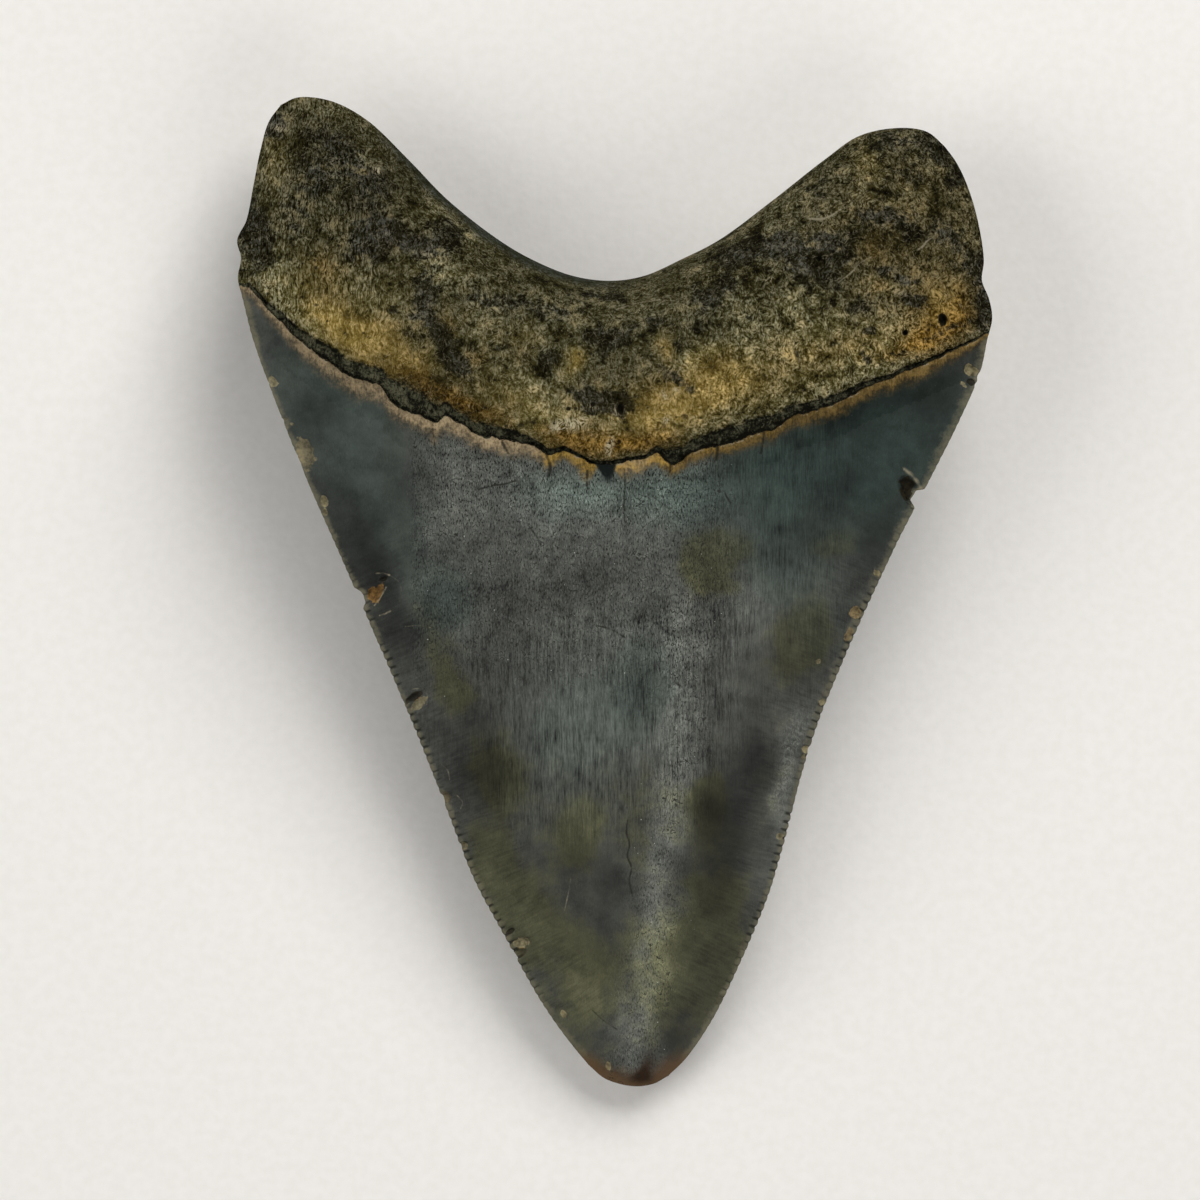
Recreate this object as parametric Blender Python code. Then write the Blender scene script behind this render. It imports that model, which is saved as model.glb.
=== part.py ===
"""Fossil tooth of a megalodon shark, lying on its convex inner face with the flat outer face up.

One solid: the root and the enamel crown are grown together. It is lofted from a plan outline and from
height profiles of the outer (labial, upper) and inner (lingual, lower) faces. The cutting edges are
serrated, and the chips, the pits and the root's nutrient holes are cut by small ellipsoids.

The tooth is worked out in millimetres and written in metres. X runs across the tooth, +Y from the tip to
the root, and +Z from the surface that it rests on to the outer face. The origin is under the middle of
its bounding box. Heights along the tooth are also given from the tip: up = y + TIP_TO_CENTRE.
"""

import math
from dataclasses import dataclass

import bmesh
import bpy
import numpy as np
from mathutils import Matrix

MILLIMETRE = 0.001

# Driving sizes, in millimetres.
TIP_TO_CENTRE = 49.55
SERRATION_DEPTH = 0.25
SERRATIONS_PER_ROW = 2
SERRATED_BAND = 0.9

# How far above the neck line the crown's form goes over into the root's, on each face and on the border.
OUTER_BLEND = 3.2
INNER_BLEND = 11.0
RIM_BLEND = 7.0

# The crown's cross-section: the outer face is nearly flat and falls away towards the cutting edges with
# this power, and the inner face is a cosine with this share of its square.
OUTER_CAMBER_POWER = 2.4
INNER_BOW_SQUARE = 0.15

# The groove of the bare neck: its depth, and its shape in neck widths above the enamel. It runs out
# towards the border over this share of the half width.
NECK_DEPTH = 0.75
NECK_STEEP_SIDE = 0.4
NECK_GENTLE_SIDE = 0.8
NECK_TOP = 1.6
NECK_RUN_OUT = 0.07

# The root: the height of its outer face, how it falls away across and above the boss, and how it is
# rounded towards its border. The boss's lowest part is worn flat, to this depth.
ROOT_HEIGHT = 20.7
ROOT_OUTER_FALL = (0.0028, 0.0095)
ROOT_INNER_RISE = (0.0062, 0.0030)
ROOT_ROUNDING = 7.0
BOSS_UP = 71.5
BOSS_WEAR = 0.45

# The root's border is low in the notch and on the lobes' tops, and rises to the shoulders.
ROOT_BORDER_LOW = 10.2
ROOT_BORDER_HIGH = 14.6
SHOULDER_X = (20.0, 36.0)
SHOULDER_UP = (80.0, 96.0)

# Mesh density.
COLUMNS = 26
CROWN_ROWS = 48
TIP_ROWS = (0.3, 0.62)
ROOT_ROWS = 18
OUTLINE_SAMPLES = 240

# Landmarks of the plan outline, (x, y). The crown's sides run up from the tip, the root's up from the
# crown, and the tip and the root's top from left to right.
CROWN_LEFT = [
    (-2.6, -47.4), (-4.8, -44.7), (-7.5, -40.8), (-10.9, -34.7), (-14.1, -28.7), (-17.2, -20.7),
    (-20.4, -12.7), (-23.8, -4.7), (-27.2, 3.2), (-30.7, 11.2), (-33.9, 19.2), (-36.1, 25.3), (-37.2, 29.6),
]
CROWN_RIGHT = [
    (5.4, -48.5), (7.2, -46.7), (9.9, -42.7), (12.8, -36.7), (15.3, -30.7), (17.1, -24.7), (18.6, -18.7),
    (20.5, -12.7), (22.1, -8.7), (23.8, -4.7), (25.6, -0.7), (28.4, 5.3), (31.6, 11.5), (34.5, 17.3),
    (36.5, 22.0), (37.2, 25.2),
]
ROOT_LEFT = [
    (-37.2, 29.6), (-37.6, 31.4), (-37.3, 33.4), (-37.7, 35.2), (-36.8, 37.2), (-36.1, 40.8), (-35.4, 44.4),
    (-34.6, 47.1), (-33.4, 48.8),
]
ROOT_RIGHT = [
    (37.2, 25.2), (37.7, 27.4), (37.4, 29.3), (36.7, 31.2), (36.9, 33.2), (36.2, 37.7), (35.1, 41.2),
    (34.1, 43.2), (33.0, 44.7),
]
TIP = [(-2.6, -47.4), (-0.9, -48.8), (1.9, -49.55), (3.9, -49.3), (5.4, -48.5)]
ROOT_TOP = [
    (-33.4, 48.8), (-31.7, 49.55), (-28.4, 49.2), (-24.8, 47.3), (-20.6, 43.3), (-16.7, 39.3), (-11.6, 35.3),
    (-8.2, 33.3), (-4.2, 31.7), (-0.4, 31.2), (3.0, 31.7), (6.6, 33.3), (10.5, 35.3), (15.9, 39.3),
    (21.0, 43.3), (24.5, 45.7), (28.5, 46.5), (31.3, 46.1), (33.0, 44.7),
]

# The border between enamel and root, y over x, on the outer and on the inner face, and how wide the bare
# neck above the outer one is, as (x, width).
OUTER_NECK = [
    (-37.2, 29.6), (-34.6, 27.0), (-31.5, 24.5), (-27.5, 22.0), (-23.5, 20.0), (-17.5, 16.9), (-11.5, 15.2),
    (-5.5, 13.9), (-1.0, 12.7), (3.5, 13.4), (8.5, 14.6), (13.5, 16.1), (18.5, 17.9), (23.5, 20.0),
    (28.5, 21.9), (33.5, 23.7), (37.2, 25.2),
]
INNER_NECK = [
    (-37.2, 29.6), (-28.0, 24.0), (-16.0, 16.5), (-5.0, 10.6), (0.5, 9.4), (6.0, 10.6), (18.0, 16.0),
    (30.0, 22.0), (37.2, 25.2),
]
NECK_WIDTH = [(-37.2, 0.4), (-30.0, 0.9), (-22.0, 2.0), (-15.0, 2.3), (-6.0, 1.0), (3.0, 0.8), (9.0, 1.8),
              (15.0, 1.7), (24.0, 1.1), (37.2, 0.5)]

# Heights over the resting surface along the tooth's middle, as (distance up from the tip, z).
OUTER_CREST = [(0, 3.6), (1.0, 4.5), (3.0, 5.5), (8, 6.9), (20, 9.6), (40, 14.2), (60, 18.7), (72, 20.6), (90, 21.4)]
CUTTING_EDGE = [(0, 3.6), (4, 4.6), (10, 6.1), (20, 7.9), (40, 11.9), (60, 15.8), (72, 16.9), (84, 16.6)]
INNER_CREST = [
    (0, 3.6), (0.7, 2.5), (2.2, 1.4), (5, 0.55), (10, 0.08), (14, 0.0), (20, 0.12), (30, 0.6), (40, 1.2),
    (50, 1.9), (60, 2.7), (75, 3.4),
]


@dataclass(frozen=True)
class Scoop:
    """An ellipsoid cut into a face: a flake off a cutting edge, or a hole in the root."""

    name: str
    x: float
    y: float
    half_width: float
    half_length: float
    depth: float
    turn: float = 0.0
    on_outer_face: bool = True


# Millimetres, and degrees about +Z.
SCOOPS = (
    Scoop("flake_left_high", -31.0, 14.1, 1.1, 2.0, 0.55, 22),
    Scoop("flake_left_upper", -29.0, 8.9, 0.8, 1.2, 0.5, 22),
    Scoop("bite_left_middle", -24.7, -0.2, 1.5, 1.5, 1.1, 24),
    Scoop("flake_left_middle", -20.2, -10.7, 1.2, 0.9, 0.6, 22),
    Scoop("flake_left_low", -10.0, -35.0, 1.0, 0.9, 0.5, 30),
    Scoop("flake_right_corner", 36.0, 21.9, 1.1, 1.0, 0.6, -35),
    Scoop("bite_right_high", 29.9, 10.3, 1.3, 2.2, 1.3, -27),
    Scoop("flake_right_middle", 24.8, -2.0, 1.0, 1.1, 0.5, -24),
    Scoop("pit_middle", 0.6, 18.3, 0.5, 0.8, 0.9),
    Scoop("pit_right", 32.7, 27.3, 0.6, 0.7, 1.1),
    Scoop("pit_right_small", 29.0, 25.9, 0.45, 0.45, 0.8),
    Scoop("nutrient_hole", 1.2, 24.6, 0.7, 1.2, 2.0, 0, False),
)


def hermite(at, stations, values):
    """A smooth curve through values at rising stations; values may be numbers or points."""
    stations = np.asarray(stations, float)
    values = np.asarray(values, float)
    gaps = np.diff(stations)
    slopes = (np.diff(values, axis=0).T / gaps).T
    tangents = np.empty_like(values)
    tangents[0], tangents[-1] = slopes[0], slopes[-1]
    before, after = gaps[:-1], gaps[1:]
    tangents[1:-1] = ((slopes[:-1].T * after + slopes[1:].T * before) / (before + after)).T
    at = np.clip(np.asarray(at, float), stations[0], stations[-1])
    k = np.clip(np.searchsorted(stations, at, side="right") - 1, 0, len(gaps) - 1)
    gap = gaps[k]
    s = (at - stations[k]) / gap
    weights = (2 * s**3 - 3 * s**2 + 1, (s**3 - 2 * s**2 + s) * gap, 3 * s**2 - 2 * s**3, (s**3 - s**2) * gap)
    terms = (values[k], tangents[k], values[k + 1], tangents[k + 1])
    return sum((term.T * weight.T).T for term, weight in zip(terms, weights))


def smoothstep(x):
    """0 below 0, 1 above 1, and an S curve between."""
    x = np.clip(x, 0.0, 1.0)
    return x * x * (3 - 2 * x)


class Border:
    """A smooth curve through landmarks, read by the fraction of its length."""

    def __init__(self, landmarks):
        points = np.asarray(landmarks, float)
        chords = np.linalg.norm(np.diff(points, axis=0), axis=1)
        knots = np.concatenate([[0.0], np.cumsum(np.sqrt(chords))])
        self.samples = hermite(np.linspace(0, knots[-1], OUTLINE_SAMPLES), knots, points)
        steps = np.linalg.norm(np.diff(self.samples, axis=0), axis=1)
        self.length = steps.sum()
        self.fractions = np.concatenate([[0.0], np.cumsum(steps)]) / self.length

    def at(self, fraction):
        """The points at these fractions of the length."""
        return np.stack([np.interp(fraction, self.fractions, self.samples[:, k]) for k in (0, 1)], -1)


def column_fractions(width):
    """Where the mesh columns cross a row of this width: a narrow band at each side, and wider ones inside."""
    band = min(SERRATED_BAND / width, 1.0 / COLUMNS)
    inside = np.linspace(-1, 1, COLUMNS - 1)
    inside = 0.65 * inside + 0.35 * np.sin(inside * math.pi / 2)
    return np.concatenate([[0.0], band + (1 - 2 * band) * (inside + 1) / 2, [1.0]])


def root_row_fractions():
    """Where the mesh rows lie between the neck and the root's border, closer together at both."""
    even = np.linspace(0, 1, ROOT_ROWS + 1)
    return 0.2 * even + 0.8 * (1 - np.cos(math.pi * even)) / 2


def coons_patch(low, high, left, right, row_fractions):
    """Plan points of a patch between four borders, as rows from low to high."""
    rows = []
    for r in row_fractions:
        side_left, side_right = left.at(r), right.at(r)
        s = column_fractions(np.linalg.norm(side_right - side_left))[:, None]
        across = (1 - r) * low.at(s[:, 0]) + r * high.at(s[:, 0])
        ends_left = (1 - r) * low.at(0.0) + r * high.at(0.0)
        ends_right = (1 - r) * low.at(1.0) + r * high.at(1.0)
        rows.append(across + (1 - s) * (side_left - ends_left) + s * (side_right - ends_right))
    return np.array(rows)


class ToothForm:
    """The tooth's plan and its two faces."""

    def __init__(self):
        self.crown_left, self.crown_right = Border(CROWN_LEFT), Border(CROWN_RIGHT)
        self.root_left, self.root_right = Border(ROOT_LEFT), Border(ROOT_RIGHT)
        self.tip, self.root_top = Border(TIP), Border(ROOT_TOP)
        self.neck = Border(OUTER_NECK)
        self.root_rim = np.concatenate([b.samples for b in (self.root_left, self.root_top, self.root_right)])

    def plan(self):
        """The mesh's plan points, as an array of rows from the tip to the root's top."""
        crown_rows = np.concatenate([[0.0], np.array(TIP_ROWS) / CROWN_ROWS, np.arange(1, CROWN_ROWS) / CROWN_ROWS])
        crown = coons_patch(self.tip, self.neck, self.crown_left, self.crown_right, crown_rows)
        root = coons_patch(self.neck, self.root_top, self.root_left, self.root_right, root_row_fractions())
        return np.concatenate([crown, root])

    def across(self, x, y):
        """Where points lie between the two cutting edges: -1 on the left one, 1 on the right one."""
        low = np.concatenate([self.tip.samples[:120][::-1], self.crown_left.samples, self.root_left.samples[1:60]])
        high = np.concatenate([self.tip.samples[120:], self.crown_right.samples, self.root_right.samples[1:60]])
        order_low, order_high = np.argsort(low[:, 1]), np.argsort(high[:, 1])
        left = np.interp(y, low[order_low, 1], low[order_low, 0])
        right = np.interp(y, high[order_high, 1], high[order_high, 0])
        return np.clip((2 * x - left - right) / np.maximum(right - left, 0.4), -1, 1)

    def above_neck(self, x, y, landmarks):
        """How far points lie above a neck line, at right angles to it."""
        neck = np.asarray(landmarks, float)
        line = hermite(x, neck[:, 0], neck[:, 1])
        slope = (hermite(x + 0.5, neck[:, 0], neck[:, 1]) - hermite(x - 0.5, neck[:, 0], neck[:, 1]))
        return (y - line) / np.sqrt(1 + slope**2)

    def root_swell(self, x, y):
        """0 on the root's border, rising as a quarter round to 1 inside."""
        distance = np.full(x.shape, 1e9)
        for rim_x, rim_y in self.root_rim:
            distance = np.minimum(distance, np.hypot(x - rim_x, y - rim_y))
        return np.sqrt(1 - (1 - np.clip(distance / ROOT_ROUNDING, 0, 1)) ** 2)

    def rim_height(self, x, up, outer_above):
        """The height at which the two faces meet on the border."""
        out = np.interp(np.abs(x), SHOULDER_X, (0, 1))
        down = np.interp(up, SHOULDER_UP, (1, 0))
        root_border = ROOT_BORDER_LOW + (ROOT_BORDER_HIGH - ROOT_BORDER_LOW) * smoothstep(out) * smoothstep(down)
        edge = hermite(up, *zip(*CUTTING_EDGE))
        return edge + (root_border - edge) * smoothstep(outer_above / RIM_BLEND)

    def neck_groove(self, x, outer_above):
        """0 beside the bare neck, 1 in its bottom: steep at the enamel, gentler at the root."""
        part = outer_above / hermite(x, *zip(*NECK_WIDTH))
        return smoothstep(part / NECK_STEEP_SIDE) * smoothstep((NECK_TOP - part) / NECK_GENTLE_SIDE)

    def heights(self, x, y):
        """(outer face z, inner face z) at plan points."""
        up = y + TIP_TO_CENTRE
        across = np.abs(self.across(x, y))
        swell = self.root_swell(x, y)
        outer_above = self.above_neck(x, y, OUTER_NECK)
        inner_above = self.above_neck(x, y, INNER_NECK)
        rim = self.rim_height(x, up, outer_above)

        bow = np.cos(across * math.pi / 2)
        crown_outer = (hermite(up, *zip(*OUTER_CREST)) - rim) * (1 - across**OUTER_CAMBER_POWER)
        bow = bow + INNER_BOW_SQUARE * (bow**2 - bow)
        crown_inner = (rim - hermite(up, *zip(*INNER_CREST))) * bow
        above = np.maximum(up - BOSS_UP, 0)
        root_outer = ROOT_HEIGHT - ROOT_OUTER_FALL[0] * x**2 - ROOT_OUTER_FALL[1] * above**2 - rim
        root_inner = rim - ROOT_INNER_RISE[0] * x**2 - ROOT_INNER_RISE[1] * above**2 + BOSS_WEAR

        outer = crown_outer + (root_outer * swell - crown_outer) * smoothstep(outer_above / OUTER_BLEND)
        inner = crown_inner + (root_inner * swell - crown_inner) * smoothstep(inner_above / INNER_BLEND)
        groove = NECK_DEPTH * self.neck_groove(x, outer_above) * smoothstep((1 - across) / NECK_RUN_OUT)
        return rim + outer - groove, np.maximum(rim - inner, 0.0)


def loft_body(form):
    """The closed body before the edges are serrated, with the rim's crown edges on both sides."""
    plan = form.plan()
    rows, columns = plan.shape[:2]
    outer, inner = form.heights(plan[..., 0], plan[..., 1])
    rim_z = (outer + inner) / 2
    body = bmesh.new()

    def point(r, c, z):
        return body.verts.new((plan[r, c, 0] * MILLIMETRE, plan[r, c, 1] * MILLIMETRE, z * MILLIMETRE))

    on_rim = [[r in (0, rows - 1) or c in (0, columns - 1) for c in range(columns)] for r in range(rows)]
    top = [[point(r, c, rim_z[r, c] if on_rim[r][c] else outer[r, c]) for c in range(columns)] for r in range(rows)]
    low = [[top[r][c] if on_rim[r][c] else point(r, c, inner[r, c]) for c in range(columns)] for r in range(rows)]
    for r in range(rows - 1):
        for c in range(columns - 1):
            body.faces.new((top[r][c], top[r][c + 1], top[r + 1][c + 1], top[r + 1][c]))
            body.faces.new((low[r][c], low[r + 1][c], low[r + 1][c + 1], low[r][c + 1]))
    first = len(TIP_ROWS) + 1
    last = first + CROWN_ROWS - 1
    edges = [
        body.edges.get((top[r][side], top[r + 1][side]))
        for side in (0, columns - 1)
        for r in range(first, last)
    ]
    return body, edges


def serrate(body, edges):
    """Cuts the serrations: each rim edge is divided, and every second new point is set back."""
    corners = {v for e in edges for v in e.verts}
    middle_x = sum(v.co.x for v in corners) / len(corners)
    made = bmesh.ops.subdivide_edges(body, edges=edges, cuts=2 * SERRATIONS_PER_ROW - 1, use_single_edge=True)
    new = [g for g in made["geom_inner"] if isinstance(g, bmesh.types.BMVert)]
    for v in new:
        if any(e.other_vert(v) in corners and e.calc_length() < MILLIMETRE for e in v.link_edges):
            inward = 1.0 if v.co.x < middle_x else -1.0
            v.co.x += inward * SERRATION_DEPTH * MILLIMETRE


def make_material(name, colour, roughness):
    """A plain Principled BSDF material."""
    material = bpy.data.materials.new(name)
    material.use_nodes = True
    shader = material.node_tree.nodes["Principled BSDF"]
    shader.inputs["Base Color"].default_value = (*colour, 1.0)
    shader.inputs["Roughness"].default_value = roughness
    shader.inputs["Metallic"].default_value = 0.0
    return material


def make_tooth(form, collection):
    """The tooth's object, serrated and dressed, without its chips."""
    body, cutting_edges = loft_body(form)
    serrate(body, cutting_edges)
    bmesh.ops.triangulate(body, faces=[f for f in body.faces if len(f.verts) > 4])
    mesh = bpy.data.meshes.new("tooth")
    body.to_mesh(mesh)
    body.free()
    mesh.materials.append(make_material("fossil", (0.09, 0.09, 0.075), 0.5))
    mesh.shade_smooth()
    mesh.set_sharp_from_angle(angle=math.radians(40))
    tooth = bpy.data.objects.new("tooth", mesh)
    collection.objects.link(tooth)
    return tooth


def make_cutter(scoop, form, collection):
    """An ellipsoid that is only used to cut, standing out of the face that it cuts."""
    outer, inner = form.heights(np.array([scoop.x]), np.array([scoop.y]))
    half_height = max(scoop.half_width, scoop.half_length, scoop.depth)
    stand_off = half_height - scoop.depth
    z = outer[0] + stand_off if scoop.on_outer_face else inner[0] - stand_off
    mesh = bpy.data.meshes.new(scoop.name)
    ball = bmesh.new()
    bmesh.ops.create_icosphere(ball, subdivisions=2, radius=MILLIMETRE)
    place = Matrix.Translation([c * MILLIMETRE for c in (scoop.x, scoop.y, z)])
    turn = Matrix.Rotation(math.radians(scoop.turn), 4, "Z")
    ball.transform(place @ turn @ Matrix.Diagonal([scoop.half_width, scoop.half_length, half_height, 1.0]))
    ball.to_mesh(mesh)
    ball.free()
    cutter = bpy.data.objects.new(scoop.name, mesh)
    cutter.hide_render = True
    cutter.display_type = "WIRE"
    collection.objects.link(cutter)
    return cutter


def make_collection(name):
    """A new collection in the scene."""
    collection = bpy.data.collections.new(name)
    bpy.context.scene.collection.children.link(collection)
    return collection


def main():
    for old in list(bpy.data.objects):
        bpy.data.objects.remove(old)
    form = ToothForm()
    tooth = make_tooth(form, make_collection("megalodon_tooth"))
    cutters = make_collection("cutters")
    for scoop in SCOOPS:
        cut = tooth.modifiers.new(scoop.name, "BOOLEAN")
        cut.operation = "DIFFERENCE"
        cut.solver = "EXACT"
        cut.object = make_cutter(scoop, form, cutters)


main()
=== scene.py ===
"""The fossil tooth of a megalodon shark, lying on a pale floor under soft studio light.

The tooth is one piece. Its skin is a closed mesh of two sheets, the outer (labial) face above and the inner
(lingual) face below, which meet on the cutting edges and on the root's border. Forms, chips, pits and cracks
are worked out in millimetres over the plan, and the mesh is written in metres. X runs across the tooth, +Y
from the tip to the root, and +Z from the floor up.
"""

import logging
import math
from collections.abc import Sequence
from dataclasses import dataclass, field
from enum import Enum

import bpy
import numpy as np
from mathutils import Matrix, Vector
from mathutils.geometry import delaunay_2d_cdt
from mathutils.kdtree import KDTree


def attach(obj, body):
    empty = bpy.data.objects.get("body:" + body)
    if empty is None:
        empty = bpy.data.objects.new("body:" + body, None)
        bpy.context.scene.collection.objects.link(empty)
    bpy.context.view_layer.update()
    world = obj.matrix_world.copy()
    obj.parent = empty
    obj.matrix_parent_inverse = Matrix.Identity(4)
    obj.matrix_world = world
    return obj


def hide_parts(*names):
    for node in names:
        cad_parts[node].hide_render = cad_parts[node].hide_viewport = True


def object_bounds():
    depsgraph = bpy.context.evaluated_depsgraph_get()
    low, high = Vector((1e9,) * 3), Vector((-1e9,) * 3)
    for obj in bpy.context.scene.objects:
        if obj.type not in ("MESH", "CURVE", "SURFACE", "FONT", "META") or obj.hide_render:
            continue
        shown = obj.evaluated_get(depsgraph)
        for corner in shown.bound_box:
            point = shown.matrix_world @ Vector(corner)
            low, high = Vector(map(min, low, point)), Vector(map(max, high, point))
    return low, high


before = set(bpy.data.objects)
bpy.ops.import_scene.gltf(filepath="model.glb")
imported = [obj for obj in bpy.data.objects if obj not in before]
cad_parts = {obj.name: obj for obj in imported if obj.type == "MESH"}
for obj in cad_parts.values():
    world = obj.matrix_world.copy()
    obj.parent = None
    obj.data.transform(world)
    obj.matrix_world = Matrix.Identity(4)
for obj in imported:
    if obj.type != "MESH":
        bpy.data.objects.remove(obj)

CAD_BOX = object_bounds()
MILLIMETRE = 0.001

log = logging.getLogger("tooth")

Landmarks = Sequence[tuple[float, float]]
Colour = tuple[float, float, float]
Numbers = np.ndarray


# Numbers over the plan


def each(kind: type, *rows: tuple) -> tuple:
    """Makes one object of a kind from each row of its values."""
    return tuple(kind(*row) for row in rows)


def hermite(at: Numbers, stations: Sequence[float], values: Sequence) -> Numbers:
    """Reads a smooth curve through values at rising stations.

    Args:
        at: Where to read the curve.
        stations: Rising positions of the values.
        values: Numbers or points, one for each station.

    Returns:
        The curve's values.
    """
    stations, values = np.asarray(stations, float), np.asarray(values, float)
    gaps = np.diff(stations)
    slopes = (np.diff(values, axis=0).T / gaps).T
    tangents = np.empty_like(values)
    tangents[0], tangents[-1] = slopes[0], slopes[-1]
    before, after = gaps[:-1], gaps[1:]
    tangents[1:-1] = ((slopes[:-1].T * after + slopes[1:].T * before) / (before + after)).T
    at = np.clip(np.asarray(at, float), stations[0], stations[-1])
    k = np.clip(np.searchsorted(stations, at, side="right") - 1, 0, len(gaps) - 1)
    gap = gaps[k]
    s = (at - stations[k]) / gap
    weights = (2 * s**3 - 3 * s**2 + 1, (s**3 - 2 * s**2 + s) * gap, 3 * s**2 - 2 * s**3, (s**3 - s**2) * gap)
    terms = (values[k], tangents[k], values[k + 1], tangents[k + 1])
    return sum((term.T * weight.T).T for term, weight in zip(terms, weights))


def along(at: Numbers, pairs: Landmarks) -> Numbers:
    """Reads the smooth curve through (station, value) pairs."""
    return hermite(at, *zip(*pairs))


def steepness(x: Numbers, line: Landmarks) -> Numbers:
    """The length of a smooth line over a unit of x."""
    return np.sqrt(1 + (along(x + 0.5, line) - along(x - 0.5, line)) ** 2)


def bell(x: Numbers, width: float, power: float = 2.0) -> Numbers:
    """1 at 0, falling smoothly to both sides over a width."""
    return np.exp(-(np.abs(x / width) ** power))


def smoothstep(x: Numbers) -> Numbers:
    """0 below 0, 1 above 1, and an S curve between."""
    x = np.clip(x, 0.0, 1.0)
    return x * x * (3 - 2 * x)


def ramp(x: Numbers, start: float, end: float) -> Numbers:
    """An S curve from 0 at start to 1 at end, which may lie below start."""
    return smoothstep((x - start) / (end - start))


@dataclass
class Grain:
    """Smooth irregular numbers over the plan, from -1 to 1, the same on each run."""

    seed: int
    cells: int = 128
    drift: tuple = (7.3, -3.1)
    lattice: Numbers = field(init=False, repr=False)

    def __post_init__(self) -> None:
        """Draws the lattice."""
        self.lattice = np.random.default_rng(self.seed).uniform(-1, 1, (self.cells, self.cells))

    def at(self, x: Numbers, y: Numbers, size: float, stretch: float = 1.0) -> Numbers:
        """Reads the grain.

        Args:
            x: Positions across, in millimetres.
            y: Positions along, in millimetres.
            size: Size of a lump across, in millimetres.
            stretch: How many times longer a lump is along Y.

        Returns:
            Numbers from -1 to 1.
        """
        u, v = np.asarray(x, float) / size + self.cells, np.asarray(y, float) / (size * stretch) + self.cells
        i, j = np.floor(u).astype(int), np.floor(v).astype(int)
        s, t = smoothstep(u - i), smoothstep(v - j)
        i, j, k, m = i % self.cells, j % self.cells, (i + 1) % self.cells, (j + 1) % self.cells
        low = self.lattice[i, j] * (1 - s) + self.lattice[k, j] * s
        high = self.lattice[i, m] * (1 - s) + self.lattice[k, m] * s
        return low * (1 - t) + high * t

    def rough(self, x: Numbers, y: Numbers, size: float, octaves: int = 3, stretch: float = 1.0) -> Numbers:
        """Adds up the grain at sizes that halve, each half as strong as the one before.

        Args:
            x: Positions across, in millimetres.
            y: Positions along, in millimetres.
            size: Size of the largest lumps across.
            octaves: How many sizes there are.
            stretch: How many times longer a lump is along Y.

        Returns:
            Numbers from -1 to 1.
        """
        total, (right, back) = 0.0, self.drift
        for k in range(octaves):
            total = total + 0.5**k * self.at(x + right * k, y + back * k, size * 0.5**k, stretch)
        return total / (2 - 0.5 ** (octaves - 1))


# The tooth's form


class Face(Enum):
    """The two faces of the tooth."""

    OUTER = 1
    INNER = -1


class Curve:
    """A smooth curve through landmarks, read by the fraction of its length."""

    SAMPLES = 240

    def __init__(self, landmarks: Landmarks) -> None:
        """Lays the curve, with rounder turns where landmarks lie closer together.

        Args:
            landmarks: Points of the plan, in order.
        """
        points = np.asarray(landmarks, float)
        chords = np.linalg.norm(np.diff(points, axis=0), axis=1)
        knots = np.concatenate([[0.0], np.cumsum(np.sqrt(chords))])
        self.samples = hermite(np.linspace(0, knots[-1], self.SAMPLES), knots, points)
        steps = np.linalg.norm(np.diff(self.samples, axis=0), axis=1)
        self.length = float(steps.sum())
        self.fractions = np.concatenate([[0.0], np.cumsum(steps)]) / self.length

    def at(self, fraction: Numbers) -> Numbers:
        """The points at these fractions of the length."""
        return np.stack([np.interp(fraction, self.fractions, self.samples[:, k]) for k in (0, 1)], -1)


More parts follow.
